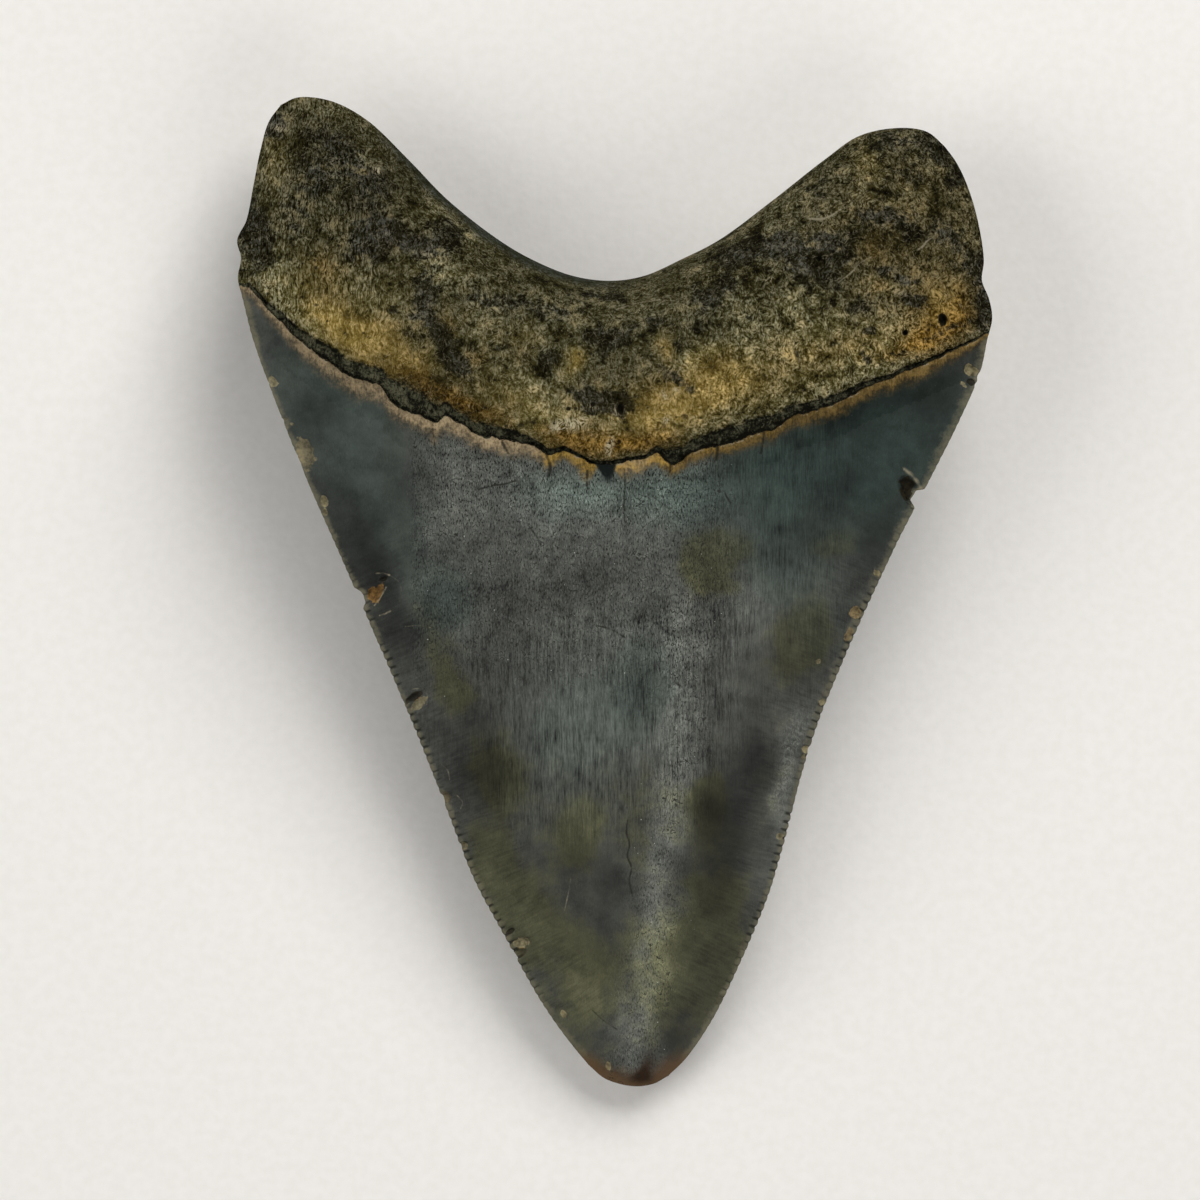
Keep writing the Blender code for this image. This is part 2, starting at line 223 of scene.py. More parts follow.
@dataclass(frozen=True)
class ToothForm:
    """The tooth's plan outline and the heights of its two faces, in millimetres."""

    tip_to_centre: float = 49.55
    crown_left: tuple = (
        (-2.6, -47.4), (-4.8, -44.7), (-7.5, -40.8), (-10.9, -34.7), (-14.1, -28.7), (-17.2, -20.7),
        (-20.4, -12.7), (-23.8, -4.7), (-27.2, 3.2), (-30.7, 11.2), (-33.9, 19.2), (-36.1, 25.3), (-37.2, 29.6),
    )
    crown_right: tuple = (
        (5.4, -48.5), (7.2, -46.7), (9.9, -42.7), (12.8, -36.7), (15.3, -30.7), (17.1, -24.7), (18.6, -18.7),
        (20.5, -12.7), (22.1, -8.7), (23.8, -4.7), (25.6, -.7), (28.4, 5.3), (31.6, 11.5), (34.5, 17.3),
        (36.5, 22), (37.2, 25.2),
    )
    root_left: tuple = (
        (-37.2, 29.6), (-37.6, 31.4), (-37.3, 33.4), (-37.7, 35.2), (-36.8, 37.2), (-36.1, 40.8), (-35.4, 44.4),
        (-34.6, 47.1), (-33.4, 48.8),
    )
    root_right: tuple = (
        (37.2, 25.2), (37.7, 27.4), (37.4, 29.3), (36.7, 31.2), (36.9, 33.2), (36.2, 37.7), (35.1, 41.2),
        (34.1, 43.2), (33, 44.7),
    )
    tip: tuple = ((-2.6, -47.4), (-.9, -48.8), (1.9, -49.55), (3.9, -49.3), (5.4, -48.5))
    root_top: tuple = (
        (-33.4, 48.8), (-31.7, 49.55), (-28.4, 49.2), (-24.8, 47.3), (-20.6, 43.3), (-16.7, 39.3), (-11.6, 35.3),
        (-8.2, 33.3), (-4.2, 31.7), (-.4, 31.2), (3, 31.7), (6.6, 33.3), (10.5, 35.3), (15.9, 39.3), (21, 43.3),
        (24.5, 45.7), (28.5, 46.5), (31.3, 46.1), (33, 44.7),
    )
    outer_neck: tuple = (
        (-37.2, 29.6), (-34.6, 27), (-31.5, 24.5), (-27.5, 22), (-23.5, 20), (-17.5, 16.9), (-11.5, 15.2),
        (-5.5, 13.9), (-1, 12.7), (3.5, 13.4), (8.5, 14.6), (13.5, 16.1), (18.5, 17.9), (23.5, 20), (28.5, 21.9),
        (33.5, 23.7), (37.2, 25.2),
    )
    inner_neck: tuple = (
        (-37.2, 29.6), (-28, 24), (-16, 16.5), (-5, 10.6), (.5, 9.4), (6, 10.6), (18, 16), (30, 22),
        (37.2, 25.2),
    )
    inner_neck_width: tuple = ((-37.2, .6), (-26, 2.4), (-12, 5.6), (.5, 7.6), (13, 5.6), (37.2, .6))
    outer_crest: tuple = (
        (0, 3.6), (1, 4.5), (3, 5.5), (8, 6.9), (20, 9.6), (40, 14.2), (60, 18.7), (72, 20.6), (90, 21.4),
    )
    cutting_edge: tuple = (
        (0, 3.6), (4, 4.6), (10, 6.1), (20, 7.9), (40, 11.9), (60, 15.8), (72, 16.9), (84, 16.6),
    )
    inner_crest: tuple = (
        (0, 3.6), (.7, 2.5), (2.2, 1.4), (5, .55), (10, .08), (14, 0), (20, .12), (30, .6), (40, 1.2), (50, 1.9),
        (60, 2.7), (75, 3.4),
    )
    outer_blend: float = 3.2
    inner_blend: float = 11.0
    rim_blend: float = 7.0
    outer_camber_power: float = 2.4
    inner_bow_square: float = 0.15
    neck_depth: float = 0.75
    neck_run_out: float = 0.07
    root_height: float = 20.7
    root_outer_fall: tuple = (0.0028, 0.0095)
    root_inner_rise: tuple = (0.0062, 0.003)
    root_rounding: float = 7.0
    boss_up: float = 71.5
    boss_wear: float = 0.45
    root_border: tuple = (10.2, 14.6)
    shoulder_x: tuple = (20.0, 36.0)
    shoulder_up: tuple = (80.0, 96.0)

    def above(self, x: Numbers, y: Numbers, line: Landmarks) -> Numbers:
        """How far points lie above a neck line, at right angles to it."""
        return (y - along(x, line)) / steepness(x, line)

    def rim_height(self, x: Numbers, up: Numbers, outer_above: Numbers) -> Numbers:
        """The height at which the two faces meet on the border.

        Args:
            x: Plan positions across.
            up: How far above the tip they are.
            outer_above: How far they are above the outer neck line.

        Returns:
            Heights in millimetres.
        """
        out = np.interp(np.abs(x), self.shoulder_x, (0, 1))
        down = np.interp(up, self.shoulder_up, (1, 0))
        low, high = self.root_border
        border = low + (high - low) * smoothstep(out) * smoothstep(down)
        edge = along(up, self.cutting_edge)
        return edge + (border - edge) * smoothstep(outer_above / self.rim_blend)

    def heights(
        self, x: Numbers, y: Numbers, across: Numbers, swell: Numbers
    ) -> tuple[Numbers, Numbers, Numbers]:
        """Works out the smooth faces, before the groove of the neck is cut.

        Args:
            x: Plan positions across.
            y: Plan positions along.
            across: Where they lie between the cutting edges, from -1 to 1.
            swell: How far the root has risen from its border, from 0 to 1.

        Returns:
            Heights of the outer face, the inner face and the border between them.
        """
        up = y + self.tip_to_centre
        across = np.abs(across)
        outer_above = self.above(x, y, self.outer_neck)
        inner_above = self.above(x, y, self.inner_neck)
        rim = self.rim_height(x, up, outer_above)
        bow = np.cos(across * math.pi / 2)
        bow = bow + self.inner_bow_square * (bow**2 - bow)
        crown_outer = (along(up, self.outer_crest) - rim) * (1 - across**self.outer_camber_power)
        crown_inner = (rim - along(up, self.inner_crest)) * bow
        beyond = np.maximum(up - self.boss_up, 0)
        fall, rise = self.root_outer_fall, self.root_inner_rise
        root_outer = self.root_height - fall[0] * x**2 - fall[1] * beyond**2 - rim
        root_inner = rim - rise[0] * x**2 - rise[1] * beyond**2 + self.boss_wear
        outer = crown_outer + (root_outer * swell - crown_outer) * smoothstep(outer_above / self.outer_blend)
        inner = crown_inner + (root_inner * swell - crown_inner) * smoothstep(inner_above / self.inner_blend)
        return rim + outer, np.maximum(rim - inner, 0.0), rim


@dataclass(frozen=True)
class Scoop:
    """A flake off an edge, a bite or a pit. Turn is in degrees, and the rest in millimetres.

    Bare is how much dentine shows, from 0 to 1, hue is its colour from cream (0) over orange (0.5) to dark
    brown (1), and inset is how far the border has gone back beside it.
    """

    x: float
    y: float
    half_width: float
    half_length: float
    depth: float
    turn: float = 0.0
    bare: float = 1.0
    hue: float = 0.0
    inset: float = 0.0
    face: Face = Face.OUTER

    def reach(self, x: Numbers, y: Numbers) -> Numbers:
        """0 in the scoop's middle, 1 on its outline, and more outside.

        Args:
            x: Plan positions across.
            y: Plan positions along.

        Returns:
            How far out the positions are, as a share of the scoop.
        """
        turn = math.radians(self.turn)
        u = (x - self.x) * math.cos(turn) + (y - self.y) * math.sin(turn)
        v = (y - self.y) * math.cos(turn) - (x - self.x) * math.sin(turn)
        return np.sqrt((u / self.half_width) ** 2 + (v / self.half_length) ** 2)

    def ring(self, scale: float, step: float) -> Numbers:
        """Points on the outline, scaled about its middle and about step apart.

        Args:
            scale: How large the ring is, as a share of the outline.
            step: Distance between points.

        Returns:
            Plan points.
        """
        turn = math.radians(self.turn)
        size = max(self.half_width, self.half_length) * scale
        angles = np.linspace(0, 2 * math.pi, max(6, round(2 * math.pi * size / step)), endpoint=False)
        u, v = self.half_width * scale * np.cos(angles), self.half_length * scale * np.sin(angles)
        across = self.x + u * math.cos(turn) - v * math.sin(turn)
        return np.stack([across, self.y + u * math.sin(turn) + v * math.cos(turn)], -1)


@dataclass(frozen=True)
class Stroke:
    """A crack or a scratch along a line of points. Light is 1 for a pale scratch and -1 for a dark crack."""

    READING_STEP = 0.1

    points: tuple
    width: float
    depth: float
    light: float
    face: Face = Face.OUTER

    def path(self, step: float) -> tuple[Numbers, Numbers]:
        """Points along the line, about step apart, and their directions to the side.

        Args:
            step: Distance between points.

        Returns:
            Plan points, and a unit vector to the side at each.
        """
        points = np.asarray(self.points, float)
        chords = np.linalg.norm(np.diff(points, axis=0), axis=1)
        knots = np.concatenate([[0.0], np.cumsum(chords)])
        at = np.linspace(0, knots[-1], max(3, round(knots[-1] / step)))
        line = hermite(at, knots, points)
        way = np.gradient(line, axis=0)
        way /= np.linalg.norm(way, axis=1)[:, None]
        return line, np.stack([way[:, 1], -way[:, 0]], -1)

    def row(self, shift: float, step: float) -> Numbers:
        """Points about step apart, set aside from the line by a number of widths."""
        line, aside = self.path(step)
        return line + aside * self.width * shift

    def cover(self, x: Numbers, y: Numbers) -> Numbers:
        """1 on the line, falling to 0 at the stroke's width.

        Args:
            x: Plan positions across.
            y: Plan positions along.

        Returns:
            How much of the stroke there is at the positions.
        """
        cover = np.zeros_like(x)
        line, _ = self.path(self.READING_STEP)
        low, high = line.min(0) - self.width, line.max(0) + self.width
        inside = (x > low[0]) & (x < high[0]) & (y > low[1]) & (y < high[1])
        if inside.any():
            spots = np.stack([x[inside], y[inside]], -1)
            distance = np.linalg.norm(spots[:, None] - line[None], axis=2).min(1)
            cover[inside] = np.clip(1 - distance / self.width, 0, 1)
        return cover


@dataclass(frozen=True)
class Patch:
    """A soft patch of stain, tone, painted sheen or painted glint: its middle, half sizes, turn in degrees and
    strength.
    """

    x: float
    y: float
    half_width: float
    half_length: float
    strength: float
    turn: float = 0.0
    fading: float = 2.4

    def at(self, x: Numbers, y: Numbers) -> Numbers:
        """The stain's strength at points of the plan."""
        shape = Scoop(self.x, self.y, self.half_width, self.half_length, 0, self.turn)
        return self.strength * bell(shape.reach(x, y), 1, self.fading)


def together(patches: tuple, x: Numbers, y: Numbers) -> Numbers:
    """The sum of patches at points of the plan."""
    return sum(patch.at(x, y) for patch in patches)


@dataclass(frozen=True)
class Wear:
    """Everything that time has done to the tooth: flakes, pits, cracks, scratches and stains, and the painted sheen
    and glints among them.
    """

    scoops: tuple = each(
        Scoop, (-34.15, 21.1, .42, .62, .25, 25, .75, .05, .1), (-32.2, 16.8, .22, .16, .1, 0, .8, 0),
        (-33, 17.2, .3, .24, .12, 0, .6, 0, .1), (-30.9, 13.8, .9, 1.75, .35, 8, .55, .15, .1),
        (-29, 9.15, .42, .62, .35, 10, .85, 0, .3), (-28.9, 8, .3, .42, .2, 20, .8, .05, .15),
        (-24.4, -.2, 1, .66, .6, 34, 1, .62), (-25.3, -.4, .8, 1, .2, 0, 0, 0, .5),
        (-23.7, -.1, .5, 1.2, .7, -30, 1, .5), (-23.1, 1.35, .55, .26, .4, 25, .9, 1),
        (-22.9, 0, 1.9, 2.1, .14, 0, 0, 0), (-20.1, -10.5, 1.1, .36, .45, 32, .8, .97, .25),
        (-19.6, -11.15, 1, .52, .3, 38, .65, 0, .1), (-9.3, -35.1, .9, .62, .35, 10, 1, 0, .1),
        (-10.4, -33.9, .5, .3, .3, 40, .8, 1, .2), (-9.5, -36.1, .7, .5, .35, 30, .3, .9, .2),
        (-5.1, -42.3, .28, .5, .2, 20, 1, 0, .05), (-.6, -47.5, .3, .55, .15, 5, .9, .15),
        (35.6, 22.1, .95, .6, .5, -40, 1, 0, .35), (35.6, 21, .5, .4, .35, -40, .9, 1, .25),
        (34.9, 20.7, .4, .16, .1, -50, .9, 0), (29.35, 10.2, .9, 1.6, 1.1, 20, 1, .97, .3),
        (30.6, 9.3, .8, .9, .3, 0, 0, 0, .7), (26.2, 1.9, .35, .35, .15, 0, .9, .1),
        (24.1, -2, .7, .65, .3, -20, 1, .25, .15), (23.4, -4.3, .4, .8, .2, -24, .6, .3, .1),
        (20.4, -6.9, .3, .3, .12, 0, .8, 0), (20.8, -11, .3, .42, .2, -15, .8, 0, .1),
        (19.2, -15.7, .4, .42, .25, -15, .9, .05, .15), (19, -16.5, .26, .3, .2, -15, .8, 0, .1),
        (16.6, -24.4, .35, .35, .2, -15, .7, .05, .12), (-16.9, -20.5, .5, .6, .3, 20, .3, .8, .2),
        (-15.1, -25.4, .4, .45, .25, 20, .6, .1, .15), (32.75, 27.2, .45, .65, .9, 10, 1, 1),
        (29, 25.9, .3, .32, .6, 0, 1, 1), (.6, 18.3, .38, .65, .8, 0, 1, 1), (.45, 15, .24, .3, .35, 0, .8, .95),
        (-2.2, 18.7, .28, .28, .4, 0, .9, 1), (-4.6, 18.3, .26, .22, .3, 0, .8, .95),
        (-3.9, 18.3, .2, .2, .25, 0, .8, .95), (7, 17.5, .4, .28, .3, 0, .5, .9),
        (4.9, 16.6, .25, .3, .25, 0, .5, .8), (-.85, 12.2, .95, 1.3, 0, 0, 0),
        (1.2, 24.6, .7, 1.2, 1.8, 0, 1, 1, 0, Face.INNER), (-7.4, 27, .35, .5, .6, 20, 1, 1, 0, Face.INNER),
        (9.6, 26.2, .3, .4, .5, -20, 1, 1, 0, Face.INNER), (-19, 33.5, .35, .35, .5, 0, 1, 1, 0, Face.INNER),
        (23, 34, .3, .4, .5, 0, 1, 1, 0, Face.INNER),
    )
    strokes: tuple = each(
        Stroke, (((-11.2, 15), (-10.9, 14.4), (-10.6, 13.9)), .26, .12, -1.35),
        (((-6.8, 13.8), (-6.5, 13), (-6.4, 12.3), (-6.6, 11.6)), .29, .14, -1.35),
        (((-2.7, 12), (-2.75, 11.2), (-2.7, 10.4)), .22, .1, -1.35),
        (((1, 12.2), (1.05, 10.6), (.95, 9), (1, 7.2)), .19, .08, -1.08),
        (((10.3, 14.6), (10.25, 13.9), (10.1, 13.2)), .26, .12, -1.35),
        (((14.9, 16), (14.8, 15), (14.6, 13.9)), .22, .1, -1.22),
        (((-18.2, 16.3), (-18, 15.4), (-17.9, 14.2)), .19, .08, -.94),
        (((5.6, 12.9), (5.5, 12)), .22, .1, -1.22), (((-12.1, 10.7), (-11, 10.8), (-10, 11.1)), .19, .07, -1.22),
        (((-8.4, 6.4), (-7.8, 5.6), (-7.4, 4.8)), .19, .06, -1.08),
        (((-1.9, -3.3), (-.6, -3.6), (.9, -4.4)), .19, .07, -1.08),
        (((5.8, -8.5), (6.2, -9.1), (6.7, -9.4)), .19, .06, -1.08),
        (((10.9, 10.1), (11.2, 9.5), (11.5, 9)), .19, .07, -1.08),
        (((1.3, -22.8), (1.2, -24), (1.5, -25.2), (1.3, -26.4), (1.7, -27.6), (1.5, -28.6), (1.8, -30.4)),
        .21, .1, -1.08), (((1.2, -15.5), (1.3, -18.5), (1.25, -21.5)), .16, .05, -.81),
        (((-2.2, -41.9), (-1, -43), (.1, -43.7)), .16, .05, -.8),
        (((-1.7, -38.9), (-3.2, -40.1), (-4.6, -41.2)), .15, .03, -.5),
        (((-17.3, -17.2), (-16.7, -17.8), (-16.5, -18.7)), .15, .03, .6),
        (((-15.7, -20.4), (-15.2, -21), (-15.4, -21.6)), .15, .03, .7),
        (((-1.1, 4.4), (-1.15, 2), (-1, -2.6)), .24, .04, -.7), (((-12.3, 10.6), (-13.5, 10.3)), .18, .06, -1),
        (((4, 9.4), (5.2, 8.5), (6.4, 7.4)), .2, .05, -.9),
        (((18.2, 24), (18.3, 23.4), (18.5, 22.7)), .26, .12, -1.35),
        (((-4.4, -28.7), (-4.6, -30), (-5, -31.8)), .16, .04, .7),
        (((4.8, -30.2), (4.75, -31.8), (4.7, -33.3)), .12, .04, .7),
        (((-20.9, -3.4), (-19.6, -3.3), (-18.4, -3.5)), .12, .04, .6),
        (((-23.5, -2.3), (-22.9, -2.1), (-22.4, -1.85)), .15, .04, .9),
        (((-22.4, -1.85), (-21.6, -1.1), (-21.25, .05), (-21.6, 1.1), (-22.5, 1.75)), .2, .05, .4),
        (((-22.5, 1.75), (-23.1, 1.95), (-23.8, 1.9)), .18, .05, .8),
        (((-24, -1.3), (-23.4, -.5), (-22.8, .55)), .15, 0, .8),
        (((-20.5, -9.75), (-19.7, -9.6), (-19, -9.8), (-18.7, -10.4), (-18.8, -11.2)), .15, .04, .6),
        (((19.5, 37.3), (20.8, 37.3), (21.6, 37.6), (22.5, 38.2)), .2, .05, 1.2),
        (((22.5, 38.2), (23.4, 38.7), (24.4, 39.5), (25.2, 40.1)), .14, .03, .55),
        (((22.4, 37.7), (23.8, 38.4), (25.2, 39.4), (26.6, 40.2)), .12, .02, .4),
        (((22.4, 31), (23.7, 32), (24.4, 32.8), (25.5, 33.4)), .16, .03, .9),
        (((30.4, 34.3), (30.9, 34.7), (31.1, 35)), .2, .05, 1.2),
        (((31.5, 35.3), (31.8, 35.5), (32.1, 35.9)), .17, .05, 1),
        (((32.1, 35.9), (33.2, 36.4), (34.2, 36.9)), .12, .03, .4),
        (((.4, 28.3), (2.4, 28.9), (4.5, 29.2)), .14, .03, .9), (((4.5, 29.2), (8.9, 28.8)), .11, .02, .6),
        (((28.9, 12.3), (29.7, 11.7), (30.3, 10.9), (30.7, 10.2)), .34, 0, 1),
    )
    dark_root: tuple = each(
        Patch, (-16.6, 35.6, 2.2, 1.5, .75, -40), (-18.6, 34, 2.4, 1.3, .8, -25), (-22.6, 36.2, 3, 1.9, 1, -35),
        (-25.2, 34.8, 2.2, 1.5, .9, -35), (-29.6, 41.4, 2.6, 2.4, .75), (-32, 37.4, 1.8, 2.4, .6),
        (-26.4, 43.2, 2.8, 1.4, .65, -35), (-24, 40.6, 2.4, 1.6, .6, -30), (-36.2, 36, 1.6, 3.8, .95),
        (-34.8, 33.6, 1.5, 1.6, .55), (-34.4, 47, 1.5, 1.8, 1, -20), (-28.8, 45.4, 3.2, 1, .45, -20),
        (-18.8, 29.2, 1.4, 3.2, .85, -12), (-17.2, 25.2, 1.3, 3, .75, 20), (-15.2, 22.8, 1.4, 1.9, .8, 15),
        (-20.4, 26.8, 1.2, 1.4, .35), (-22.8, 28.2, 1.1, .7, .65), (-14.2, 29.4, 2.4, 1.4, .5, -25),
        (-10.4, 28.6, 2.8, 1.4, .55), (-6, 28.2, 2.6, 1.2, .6), (-1.2, 29.6, 3, 1.1, .65),
        (-11.4, 24.2, 1.6, 1.6, .45), (-6.6, 23, 1.1, 1.5, .75), (-2.4, 25.8, 1.4, 1.2, .6),
        (-1, 23.8, 1.4, 1.8, .6), (.6, 25.8, 2.2, 1.4, .65), (4.2, 27.2, 1.6, 1.1, .7), (-3, 20, 1.8, 1.1, .6),
        (-.8, 19.2, 2.6, 1.2, .8), (.6, 18.2, .9, 1.3, .9), (-2.4, 18.2, .9, .8, .75),
        (5.2, 21.6, 1.3, 1.1, .75), (7.4, 20.8, 1.8, .8, .8, -30), (6, 24.4, 1.8, 1, .45),
        (9.4, 29.6, 2.2, 1.4, .85, 15), (11.6, 31.2, 1.4, 1, .7), (8.4, 26.6, 2.2, 1.2, .45),
        (12.4, 34, 2.6, 1.4, .8, 20), (16.2, 34.4, 2.6, 1.7, .95, 10), (19.6, 32.8, 2.6, 2.2, .95),
        (21.8, 35.2, 1.8, 1.3, .7), (17, 30.6, 1.4, .8, .25), (21.8, 30.6, 1.6, 1.2, .4),
        (25.4, 37.6, 2.2, 1.5, .75), (28.6, 36.8, 2.4, 1.3, .7, -20), (23.4, 33.6, 1.8, 1.1, .5),
        (32.8, 35.6, 1.8, 1.6, .7), (34.8, 33.4, 1.4, 1.8, .6), (28.4, 45, 2.6, 1.3, .7),
        (32.4, 44.2, 1.8, 1.4, .75, -30), (34.4, 41.4, 1.3, 2.4, .55), (29.6, 41.8, 2.2, 1.2, .4),
        (37, 29.6, 1.2, 4.6, 1.1), (27.2, 32.2, 1, .7, 1), (29, 31.2, 1.2, .6, 1), (30.2, 29, 1.5, .9, .95, -15),
        (28, 28.4, .9, .6, .6), (25.4, 25.8, .7, .6, .75), (25, 23.4, .7, .9, .85), (22.4, 24.4, .8, .8, .55),
        (24, 28, 1.2, .8, .5), (13.4, 38, 2.2, .8, .4, 38), (20, 40.4, 2.2, .9, .5, 38), (14, 27.4, 1.4, 1, .35),
        (18.4, 26.2, 1.2, .8, .4), (33, 25.9, 2.6, .5, .6, 22), (29, 24.2, 2.6, .5, .5, 20),
        (9.9, 22.9, 2.6, 2, -.7, 20), (5.2, 16.6, 5, 1.6, -.4), (-4.2, 22.9, 1.1, 1.5, -1),
        (4.9, 25, .9, 1.4, -.8), (-10.4, 21, 3.4, 2, -.3, -15), (14.6, 22, 3.4, 2, -.4, 18),
        (24.6, 28.4, 2.2, 1.6, .25), (28.6, 39.4, 2.6, 2, .2),
    )
    golden_root: tuple = each(
        Patch, (0, 17.4, 13, 3.4, .35, 5), (29, 33, 9, 9, .25), (-22, 26, 9, 5, .2, -28),
        (-25.6, 25.4, 5.2, 2.6, .85, -28), (-20.8, 22.2, 3.8, 1.8, .8, -30), (-29.5, 30.2, 3, 3.4, .45),
        (-12, 19.8, 4.4, 2, .5, -15), (-4.2, 22.9, 1.1, 1.4, .9), (5.2, 18.8, 4.8, 2.6, .8, 10),
        (5, 24.4, 1.2, 1.8, .8), (10.6, 20.4, 5, 2.4, .7, 18), (16.4, 23.4, 4.4, 2.6, .35, 20),
        (23.6, 24.6, 5, 1.6, .45, 18), (32.8, 28.6, 2.6, 3.4, .8), (26, 34.4, 1.6, 1.2, .5),
        (-9.6, 24.6, 2, 2, .35), (20, 21.6, 7, 1.8, .25, 20), (9.9, 23, 3, 2, .6, 20),
        (-24, 25, 6, 2.6, .2, -28), (-33.8, 43.6, 1.2, 2.6, .3), (25.4, 42.8, 1.6, 2.2, .35),
    )
    rusty_root: tuple = each(
        Patch, (-18.6, 20.6, 3.6, 1, .75, -32), (-14, 18, 3.4, 1, .85, -20), (-5.6, 15.6, 3, 1.2, .6, -20),
        (-1, 14.8, 4.6, 1.3, .8), (3.4, 15.2, 3.4, 1.2, .65), (30.4, 25, 4.6, .9, .75, 18),
        (34.4, 28, 1.2, 2.6, .6), (-22.4, 35, .8, .9, .4), (-29, 32.6, 1.6, 1.6, .35),
        (-16.8, 26.4, 1, 1.6, .35), (26.4, 30.6, .9, .7, .35), (.4, 14.9, .6, .5, .8), (-13.6, 23.4, 1, 1, .4),
        (32, 26, 3, 2.6, .65), (30, 37, 8, 8, .13),
    )
    root_tone: float = 0.05
    root_light: tuple = each(
        Patch, (2.6, 17.4, 13, 3, 24, 6), (-22, 38, 9, 7, -8), (26, 37, 10, 8, -10, 20),
        (10.2, 22.4, 3.6, 2.4, 50, 20), (25, 28.2, 3, 2, -10), (18, 25.2, 4, 2.2, 20, 20), (-29, 44, 6, 6, -18),
        (-22, 41, 4, 4, -10), (-29.6, 35.6, 6, 3, -4), (-34, 43.4, 1.5, 3.2, 34), (-28.4, 48, 3.6, 1, 20, -15),
        (-25.2, 43.6, 1.4, 1.2, 32), (-27.8, 41, 1.2, .9, 26), (-21.6, 38.2, 2.6, 1.6, 20, -40),
        (-17.8, 38, 1.8, 1.2, 30, -40), (-28, 29.9, 5, 3.4, 20), (-31, 32.6, 2, 2.6, 14),
        (-25.4, 26.4, 4.2, 2.2, 60, -25), (-29.4, 27.2, 2.4, 1.6, 30, -30), (-20.6, 23.2, 2.8, 1.4, 40, -28),
        (-22.6, 29.6, 2.4, 1.6, 16), (-14.6, 35.6, 1.6, 1, 30, -40), (-17.4, 32, 3, 1.4, 34, -20),
        (-13.4, 26.6, 2.2, 1.8, 20), (-8.6, 25.6, 2.6, 1.6, 18), (-10.4, 21, 3.4, 2, 30, -15),
        (-4.2, 22.9, 1, 1.4, 105), (-6.2, 17.4, 3, 1.4, 34), (-5, 16.9, 1.1, .7, 30), (5, 24.4, 1.2, 1.8, 44),
        (5, 17.8, 3.6, 2.2, 60, 10), (9.8, 20, 2.8, 2.2, 55, 18), (8.6, 23.6, 2.2, .9, 66, 25),
        (13.8, 21.8, 3.2, 2, 46, 18), (13.6, 26, 2.4, 2.2, 30), (16.6, 28, 2.4, 1.4, 30),
        (19, 24.6, 3.2, 1.8, 40, 18), (22, 27, 2, 1.6, 34), (26, 30.6, 2.2, 1.2, 30), (26, 26.8, 3.2, 1.8, 20),
        (32.6, 28.4, 1.8, 2.8, 36), (25.4, 42.8, 1.8, 2.4, 36), (29.4, 39.6, 2.4, 1.4, 16),
        (22.6, 38.6, 2.2, 1.2, 14, 30), (16.6, 38.2, 3.6, 1.2, 16, 35), (36.4, 30, 1.4, 5, -30),
        (-36.4, 34, 1.6, 6, -30), (12.2, 28.6, 2, 1.2, 14), (-9.4, 31.2, 4, .9, -6, -12), (1, 28.8, 2.4, .8, 10),
        (-7.2, 19.2, 2.6, 3.4, 34), (5, 17.2, 4.8, 2.2, 20), (25.2, 24.8, 4.8, 2, 34, 18),
        (-34.4, 33, 2, 2.4, 18), (-23, 37.8, 4.4, 2, -20, -35), (18.8, 29.2, 2.4, 2.2, 32),
        (32.2, 24.8, 2.4, 1.6, -12),
    )
    # Painted glints: small cream-white spots of light on the root and along the enamel's end, put into the colour.
    glints: tuple = each(
        Patch, (-4.6, 16.8, 1.5, .55, 1.2, 8), (-5.7, 16.2, .8, .35, 1.1), (-.57, 14.6, .28, .7, 1.3),
        (.55, 18.3, .26, .5, 1.2), (-2.25, 18.75, .2, .2, 1.2), (6.05, 20.05, .25, .22, 1.1),
        (4.75, 17.25, .3, .45, 1, -15), (-23.8, 42.2, .4, .25, 1), (-33.9, 46.6, .4, .3, .8),
        (16.8, 17, .9, .25, 1, 35), (22.2, 19.4, 1.2, .2, .9, 20), (6.6, 13, .6, .25, 1.1, 35),
        (4.8, 19.4, .3, .25, .8), (28.6, 29.9, .7, .3, .6), (-31.8, 26.8, .5, .4, .6),
        (15.4, 31.2, .35, .25, .8), (-18.6, 33.4, .8, .3, .5, -40),
    )
    enamel_tone: float = 0.06
